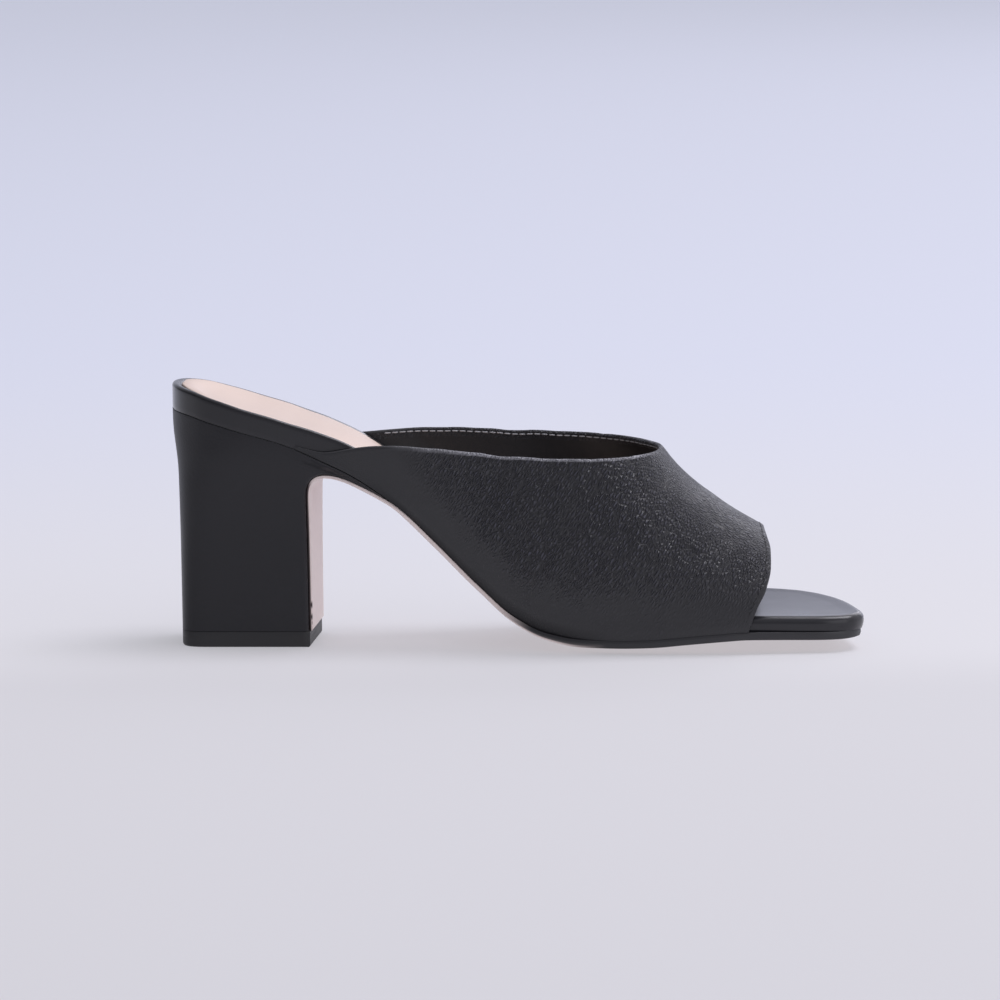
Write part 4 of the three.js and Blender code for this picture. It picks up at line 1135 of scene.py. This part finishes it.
def build_outsole(context):
    last = Last(context.scene.mule_sizes)
    colours = context.scene.mule_colours
    size = last.size
    path = last.sole_path(260)
    tangent = tangents(path)
    normal = np.stack([-tangent[:, 1], tangent[:, 0]], axis=1)
    run = lengths(path[:, :2])
    total = run[-1]
    s, z = path[:, 2], path[:, 1]
    back = smooth((0.235 - s) / 0.03) * BREAST_IN * MM
    a = last.sole_edge(s, z, -1) + back
    b = last.sole_edge(s, z, 1) - back
    q = total - run
    loop = loop_of(q[::-1], a[::-1], b[::-1])

    def read(values, where):
        return np.interp(np.clip(total - where, 0, total), run, values)

    def spine(middle):
        x = np.clip(middle[:, 0], 0, total - 0.28 * size.seat_width)
        p = read(s, x)
        return np.stack([x, np.where(p < 0.26, 0, (last.medial(p) + last.lateral(p)) / 2)], axis=1)

    def place(depth):
        def at(flat):
            where = flat[:, 0]
            x, zz, p = read(path[:, 0], where), read(path[:, 1], where), read(s, where)
            nx, nz = read(normal[:, 0], where), read(normal[:, 1], where)
            sink = last.dish(p) * size.footbed * (1 - last.across(p, flat[:, 1]) ** 2)
            thick = last.tread(p) * size.outsole * depth
            return np.column_stack([x + nx * thick, flat[:, 1], np.maximum(0, zz - sink + nz * thick)])
        return at

    rings = [(inset(loop, d * MM), place(f)) for d, f in (
        (0.12, -0.11), (0.0, -0.04), (0.0, 0.35), (0.0, 0.62), (0.06, 0.78), (0.2, 0.9), (0.45, 0.97),
        (0.8, 1.0),
    )]
    fills = [0.1, 0.25, 0.45, 0.65, 0.85, 1.0]
    points, faces, made = pad(rings, spine, [0.5, 1.0], fills)
    p = read(s, np.tile(loop[:, 0], made))
    layer = np.repeat(np.arange(made), len(loop))
    ink = smooth((p - 0.47) / 0.06) * smooth((6.0 - layer) / 1.2)
    ink = np.maximum(ink, smooth((p - 0.56) / 0.08) * smooth((10.2 - layer) / 1.2))
    upright = np.abs(read(normal[:, 0], np.tile(loop[:, 0], made)))
    cut = smooth((upright - 0.75) / 0.2) * smooth((5.4 - layer) / 1.2)
    return make_piece("outsole_strip", points, faces, [sole_leather(colours)], ["outsole"],
                      {"ink": ink, "cut": cut}, angle=60)


def resample(points, shares):
    run = lengths(points)
    return np.stack([np.interp(shares * run[-1], run, points[:, k]) for k in range(points.shape[1])], axis=1)


def build_heel(context):
    last = Last(context.scene.mule_sizes)
    colours = context.scene.mule_colours
    size = last.size
    step = BLOCK_STEP * MM
    path = last.sole_path(600)
    tangent = tangents(path)
    shifted = path[:, :2] + np.stack([tangent[:, 1], -tangent[:, 0]], axis=1) * size.clear
    lip_end = 0.332
    shifted = shifted[(path[:, 2] < lip_end)][::-1]
    turn = int(np.argmax(shifted[:, 1] > 0.66 * size.heel_height))
    n_back, n_top = 46, 96
    z = np.linspace(size.top_piece, last.seat(0.0) - size.clear, 200)
    lean = step * smooth((z - 0.5 * z[-1]) / z[-1])
    rear = np.column_stack([last.to_x(last.heel_back(z / size.heel_height)) - lean, z])
    back = resample(rear, np.linspace(0, 1, n_back))
    s_top = mix(0.0, lip_end, np.linspace(0, 1, n_top) ** 2)
    top = np.column_stack([last.to_x(s_top), last.seat(s_top) - size.clear])
    top[0] = back[-1]
    outer = np.concatenate([back, top[1:]])
    front = np.concatenate([
        resample(shifted[:turn + 1], np.linspace(0, 1, n_back)),
        resample(shifted[turn:], np.linspace(0, 1, n_top))[1:],
    ])
    steps = np.array([
        0, 0.04, 0.12, 0.25, 0.45, 0.7, 1.0, 1.4, 2.0, 2.8, 3.8, 5.0, 6.4, 8.0, 10.0, 12.5,
    ]) * MM
    ends = np.array([1.7, 1.2, 0.85, 0.55, 0.3, 0.12, 0.0]) * MM
    reach = np.linalg.norm(front - outer, axis=1)
    rows = []
    for k in range(len(outer)):
        scale = min(1, reach[k] / (22 * MM))
        inner = np.linspace(steps[-1] * scale, reach[k] - ends[0] * scale, 12)[1:-1]
        far = reach[k] - ends * scale
        rows.append(np.concatenate([steps * scale, inner, far]) / max(1e-9, reach[k]))
    f = np.array(rows)[..., None]
    flat = mix(outer[:, None], front[:, None], f)
    sides = []
    x, zz = flat[..., 0], flat[..., 1]
    s = last.to_s(x)
    top_gap = last.seat(s) - size.clear - zz
    corner = np.abs((1 - f[..., 0]) * reach[:, None])
    radius = BLOCK_CORNER * MM * np.minimum(1, reach / (7 * MM))[:, None]
    for side in (-1, 1):
        y = np.abs(last.heel_edge(x, zz, side))
        y = y + step * smooth(1 - top_gap / (7 * MM)) * smooth((0.2 - s) / 0.05)
        near = np.clip(1 - corner / np.maximum(1e-9, radius), 0, 1)
        y = y - radius * (1 - np.sqrt(np.clip(1 - near ** 2, 0, 1)))
        edge = np.clip(1 - top_gap / (0.25 * MM), 0, 1)
        y = y - BLOCK_EDGE * MM * (1 - np.sqrt(np.clip(1 - edge ** 2, 0, 1))) * smooth((s - 0.004) / 0.01)
        y[:n_back, 0] = 0
        sides.append(np.stack([x, side * y, zz], axis=-1))
    rows_count, columns = flat.shape[:2]
    points = np.concatenate([side.reshape(-1, 3) for side in sides])
    faces = grid_faces(rows_count, columns) + grid_faces(rows_count, columns, start=rows_count * columns)
    other = rows_count * columns
    for k in range(rows_count - 1):
        a, b = k * columns + columns - 1, (k + 1) * columns + columns - 1
        faces.append((a, b, b + other, a + other))
        if k >= n_back - 1:
            a, b = k * columns, (k + 1) * columns
            faces.append((a, b, b + other, a + other))
    for j in range(columns - 1):
        faces.append((j, j + 1, j + 1 + other, j + other))
    leather = smooth_leather("smooth calf over block, black", colours.block, 0.42, pore=1300.0,
                             depth=0.00005, gloss=0.36)
    return make_piece("heel_covered", points, faces, [leather], ["heel"], angle=45)


def build_top_piece(context):
    last = Last(context.scene.mule_sizes)
    size = last.size
    breast = last.to_x(LIP["s"][-1])
    front = breast + size.clear / 3
    back = last.to_x(last.heel_back(0.0)) + size.clear / 6
    x = mix(back, front, (1 - np.cos(math.pi / 2 * np.linspace(0, 1, 70))) ** 1.25)
    half = np.abs(last.heel_edge(np.minimum(x, breast - 0.08 * size.seat_width), np.zeros_like(x), 1))
    loop = loop_of(x, -half, half)
    corner = smooth((loop[:, 0] - front + 1.2 * MM) / (1.2 * MM))
    loop[:, 1] *= 1 - 0.5 * MM * corner ** 3 / np.maximum(MM, np.abs(loop[:, 1]))

    def spine(middle):
        low, high = back + 0.24 * size.seat_width, front - size.outsole / 2
        return np.stack([np.clip(middle[:, 0], low, high), 0 * middle[:, 1]], axis=1)

    def place(z):
        return lambda flat: np.column_stack([flat, np.full(len(flat), z)])

    rings = [(inset(loop, d * MM), place(z * size.top_piece)) for d, z in (
        (1.0, 0.0), (0.6, 0.0), (0.35, 0.012), (0.14, 0.05), (0.03, 0.1), (0.0, 0.16), (0.0, 0.5),
        (0.0, 0.93), (0.06, 0.975), (0.25, 1.0),
    )]
    points, faces, _ = pad(rings, spine, [0.3, 1.0], [0.5, 1.0])
    rubber = hard_rubber(context.scene.mule_colours)
    return make_piece("top_piece_rubber", points, faces, [rubber], ["top_piece"],
                      angle=50)


def stitch_row(centres, along, away, length, width):
    """One low capsule for each stitch, lying along the seam."""
    rings, spokes = 7, 8
    v = np.linspace(-1, 1, rings)
    a = np.arange(spokes) * 2 * math.pi / spokes
    r = np.sqrt(np.clip(1 - np.abs(v) ** 4, 0, 1))
    y, z = np.outer(r, np.cos(a)).reshape(-1), np.outer(r, np.sin(a)).reshape(-1)
    unit = np.stack([np.repeat(v, spokes), y, z], 1)
    points, faces = [], []
    for centre, x_axis, n_axis in zip(centres, along, away):
        side = np.cross(n_axis, x_axis)
        sag = -0.3 * width * unit[:, :1] ** 2
        points.append(centre + unit[:, :1] * x_axis * length / 2 + unit[:, 1:2] * side * width / 2
                      + (unit[:, 2:] * width / 2 * 0.8 + sag) * n_axis)
        start = (len(points) - 1) * rings * spokes
        faces += grid_faces(rings, spokes, closed_columns=True, start=start)
    return np.concatenate(points), faces


def seam(line, normal, pitch):
    """Evenly spaced places along a line, with its direction and the surface's normal there."""
    run = lengths(line)
    where = np.arange(pitch, run[-1] - pitch, pitch)
    centres = np.stack([np.interp(where, run, line[:, k]) for k in range(3)], axis=1)
    ahead = np.stack([np.interp(where + pitch / 4, run, line[:, k]) for k in range(3)], axis=1)
    along = ahead - centres
    along /= np.linalg.norm(along, axis=1, keepdims=True)
    away = np.stack([np.interp(where, run, normal[:, k]) for k in range(3)], axis=1)
    away /= np.linalg.norm(away, axis=1, keepdims=True)
    return centres, along, away


def walk_in(rows, distance):
    """On each column of a grid of rows, the point that lies this far square in from the first row's line."""
    edge = rows[0]
    gap, _ = near_line(rows, edge)
    line = np.zeros_like(edge)
    index = np.zeros(len(edge))
    for i in range(len(edge)):
        j = int(np.argmax(gap[:, i] > distance)) or len(rows) - 1
        f = (distance - gap[j - 1, i]) / max(1e-9, gap[j, i] - gap[j - 1, i])
        line[i] = mix(rows[j - 1, i], rows[j, i], f)
        index[i] = j - 1 + f
    return line, index


def build_stitches(context):
    last = Last(context.scene.mule_sizes)
    colours = context.scene.mule_colours
    size = last.size
    shell = Shell(last)
    line, index = walk_in(shell.inner[:70], TOPLINE_SEAM_IN * MM)
    normal = -shell.normal[np.clip(np.round(index).astype(int), 0, ALONG - 1), np.arange(len(line))]
    keep = slice(16, len(line) - 16)
    centres, along, away = seam(line[keep], normal[keep], size.stitch)
    points, faces = stitch_row(centres + away * 0.1 * MM, along, away, 0.94 * size.stitch, size.thread)
    light = spun_thread("bonded polyester thread, grey", colours.thread)
    make_piece("topline_stitches", points, faces, [light], angle=80)
    rows = shell.outer[::-1]
    line, index = walk_in(rows[:60], FRONT_SEAM_IN * MM)
    normal = shell.normal[::-1][np.clip(np.round(index).astype(int), 0, ALONG - 1), np.arange(len(line))]
    keep = slice(8, len(line) - 8)
    centres, along, away = seam(line[keep], normal[keep], FRONT_PITCH * MM)
    points, faces = stitch_row(centres + away * 0.05 * MM, along, away, FRONT_STITCH * MM, size.thread * 0.7)
    dark = spun_thread("bonded polyester thread, black", tuple(c * 0.6 for c in colours.leather))
    make_piece("front_edge_stitches", points, faces, [dark], angle=80)


def build_stage(context):
    stage = context.scene.mule_stage
    colours = context.scene.mule_colours
    profile = [(-3.0, 0.0), (-1.0, 0.0), (0.0, 0.0), (2.0, 0.0), (4.0, 0.0), (6.0, 0.0)]
    turns = np.linspace(0, math.pi / 2, 17)[1:]
    profile += [(6.0 + 2.0 * math.sin(a), 2.0 * (1 - math.cos(a))) for a in turns] + [(8.0, 6.0)]
    points = [(x, y, z) for x in (-9.0, -3.0, 0.0, 3.0, 9.0) for y, z in profile]
    mesh = bpy.data.meshes.new("studio_sweep")
    mesh.from_pydata(points, [], grid_faces(5, len(profile)))
    mesh.flip_normals()
    mesh.shade_smooth()
    mesh.materials.append(studio_paper(colours))
    sweep = bpy.data.objects.new("studio_sweep", mesh)
    context.scene.collection.objects.link(sweep)

    world = bpy.data.worlds.new("soft room")
    world.use_nodes = True
    world.node_tree.nodes.clear()
    ahead = add(world.node_tree, "ShaderNodeTexCoord").outputs["Generated"]
    facing = add(world.node_tree, "ShaderNodeVectorMath", {0: ahead, 1: BRIGHT_SIDE}, operation="DOT_PRODUCT")
    even = add(world.node_tree, "ShaderNodeMapRange", {
        "Value": facing.outputs["Value"], "From Min": -0.6, "From Max": 1.0,
        "To Min": 0.1 * stage.sky, "To Max": 1.1 * stage.sky,
    })
    light = add(world.node_tree, "ShaderNodeBackground", {
        "Color": ROOM_COLOUR, "Strength": even.outputs["Result"],
    })
    add(world.node_tree, "ShaderNodeOutputWorld", {"Surface": light.outputs["Background"]})
    context.scene.world = world

    for name, place, target, side in SOFT_BOXES:
        soft_box(name + "_softbox", place, target, side, getattr(stage, name))

    a, e, r = stage.azimuth, stage.elevation, stage.roll
    right = Vector((math.cos(a), math.sin(a), 0))
    ahead = Vector((-math.sin(a) * math.cos(e), math.cos(a) * math.cos(e), -math.sin(e)))
    up = right.cross(ahead)
    x_axis = right * math.cos(r) - up * math.sin(r)
    y_axis = right * math.sin(r) + up * math.cos(r)
    target = Vector(AIM) * MM
    place = target - ahead * stage.distance
    data = bpy.data.cameras.new("side_camera")
    data.lens, data.sensor_width, data.sensor_fit = stage.lens, 36.0, "HORIZONTAL"
    data.clip_start, data.clip_end = 0.1, 50.0
    camera = bpy.data.objects.new("side_camera", data)
    context.scene.collection.objects.link(camera)
    axes = Matrix((x_axis, y_axis, -ahead)).transposed()
    camera.matrix_world = Matrix.Translation(place) @ axes.to_4x4()
    context.scene.camera = camera
    context.scene.view_settings.view_transform = "Standard"


def soft_box(name, place, target, side, power):
    data = bpy.data.lights.new(name, "AREA")
    data.shape, data.size, data.energy = "SQUARE", side, power
    data.color = LIGHT_COLOUR
    lamp = bpy.data.objects.new(name, data)
    bpy.context.scene.collection.objects.link(lamp)
    lamp.location = place
    lamp.rotation_euler = (Vector(target) - Vector(place)).to_track_quat("-Z", "Y").to_euler()


# Operators and panel

class MULE_OT_upper(bpy.types.Operator):
    """Dress the upper: grained outer, rolled edges, creases and lining"""

    bl_idname = "mule.upper"
    bl_label = "Upper"

    def execute(self, context):
        build_upper(context)
        return {"FINISHED"}


class MULE_OT_footbed(bpy.types.Operator):
    """Wrap the footbed in leather, with its rolled rim"""

    bl_idname = "mule.footbed"
    bl_label = "Footbed"

    def execute(self, context):
        build_footbed(context)
        return {"FINISHED"}


class MULE_OT_sock(bpy.types.Operator):
    """Lay the blush sock lining into the footbed"""

    bl_idname = "mule.sock"
    bl_label = "Sock"

    def execute(self, context):
        build_sock(context)
        return {"FINISHED"}


class MULE_OT_outsole(bpy.types.Operator):
    """Lay the sole strip from the toe to the breast, its edge inked at the forefoot"""

    bl_idname = "mule.outsole"
    bl_label = "Outsole"

    def execute(self, context):
        build_outsole(context)
        return {"FINISHED"}


class MULE_OT_heel(bpy.types.Operator):
    """Cover the heel block and its lip, and fit the rubber top piece"""

    bl_idname = "mule.heel"
    bl_label = "Heel and top piece"

    def execute(self, context):
        build_heel(context)
        build_top_piece(context)
        return {"FINISHED"}


class MULE_OT_stitches(bpy.types.Operator):
    """Sew the topline and the front edge"""

    bl_idname = "mule.stitches"
    bl_label = "Stitches"

    def execute(self, context):
        build_stitches(context)
        return {"FINISHED"}


class MULE_OT_stage(bpy.types.Operator):
    """Set the paper sweep, the lights and the camera"""

    bl_idname = "mule.stage"
    bl_label = "Stage"

    def execute(self, context):
        build_stage(context)
        return {"FINISHED"}


OPERATORS = (MULE_OT_upper, MULE_OT_footbed, MULE_OT_sock, MULE_OT_outsole, MULE_OT_heel, MULE_OT_stitches,
             MULE_OT_stage)
GROUPS = (("mule_sizes", MuleSizes), ("mule_colours", MuleColours), ("mule_stage", MuleStage))


class MULE_PT_panel(bpy.types.Panel):
    """Sizes, colours and pieces of the mule"""

    bl_label = "Block-heel mule"
    bl_idname = "MULE_PT_panel"
    bl_space_type = "VIEW_3D"
    bl_region_type = "UI"
    bl_category = "Mule"

    def draw(self, context):
        for name, group in GROUPS:
            box = self.layout.box()
            for key in group.__annotations__:
                box.prop(getattr(context.scene, name), key)
        for operator in OPERATORS:
            self.layout.operator(operator.bl_idname)


CLASSES = tuple(group for _, group in GROUPS) + OPERATORS + (MULE_PT_panel,)


def register():
    for item in CLASSES:
        bpy.utils.register_class(item)
    for name, group in GROUPS:
        setattr(bpy.types.Scene, name, PointerProperty(type=group))


def unregister():
    for name, _ in GROUPS:
        delattr(bpy.types.Scene, name)
    for item in reversed(CLASSES):
        bpy.utils.unregister_class(item)


def main():
    register()
    bpy.ops.mule.upper()
    bpy.ops.mule.footbed()
    bpy.ops.mule.sock()
    bpy.ops.mule.outsole()
    bpy.ops.mule.heel()
    bpy.ops.mule.stitches()
    bpy.ops.mule.stage()


if __name__ == "__main__":
    main()
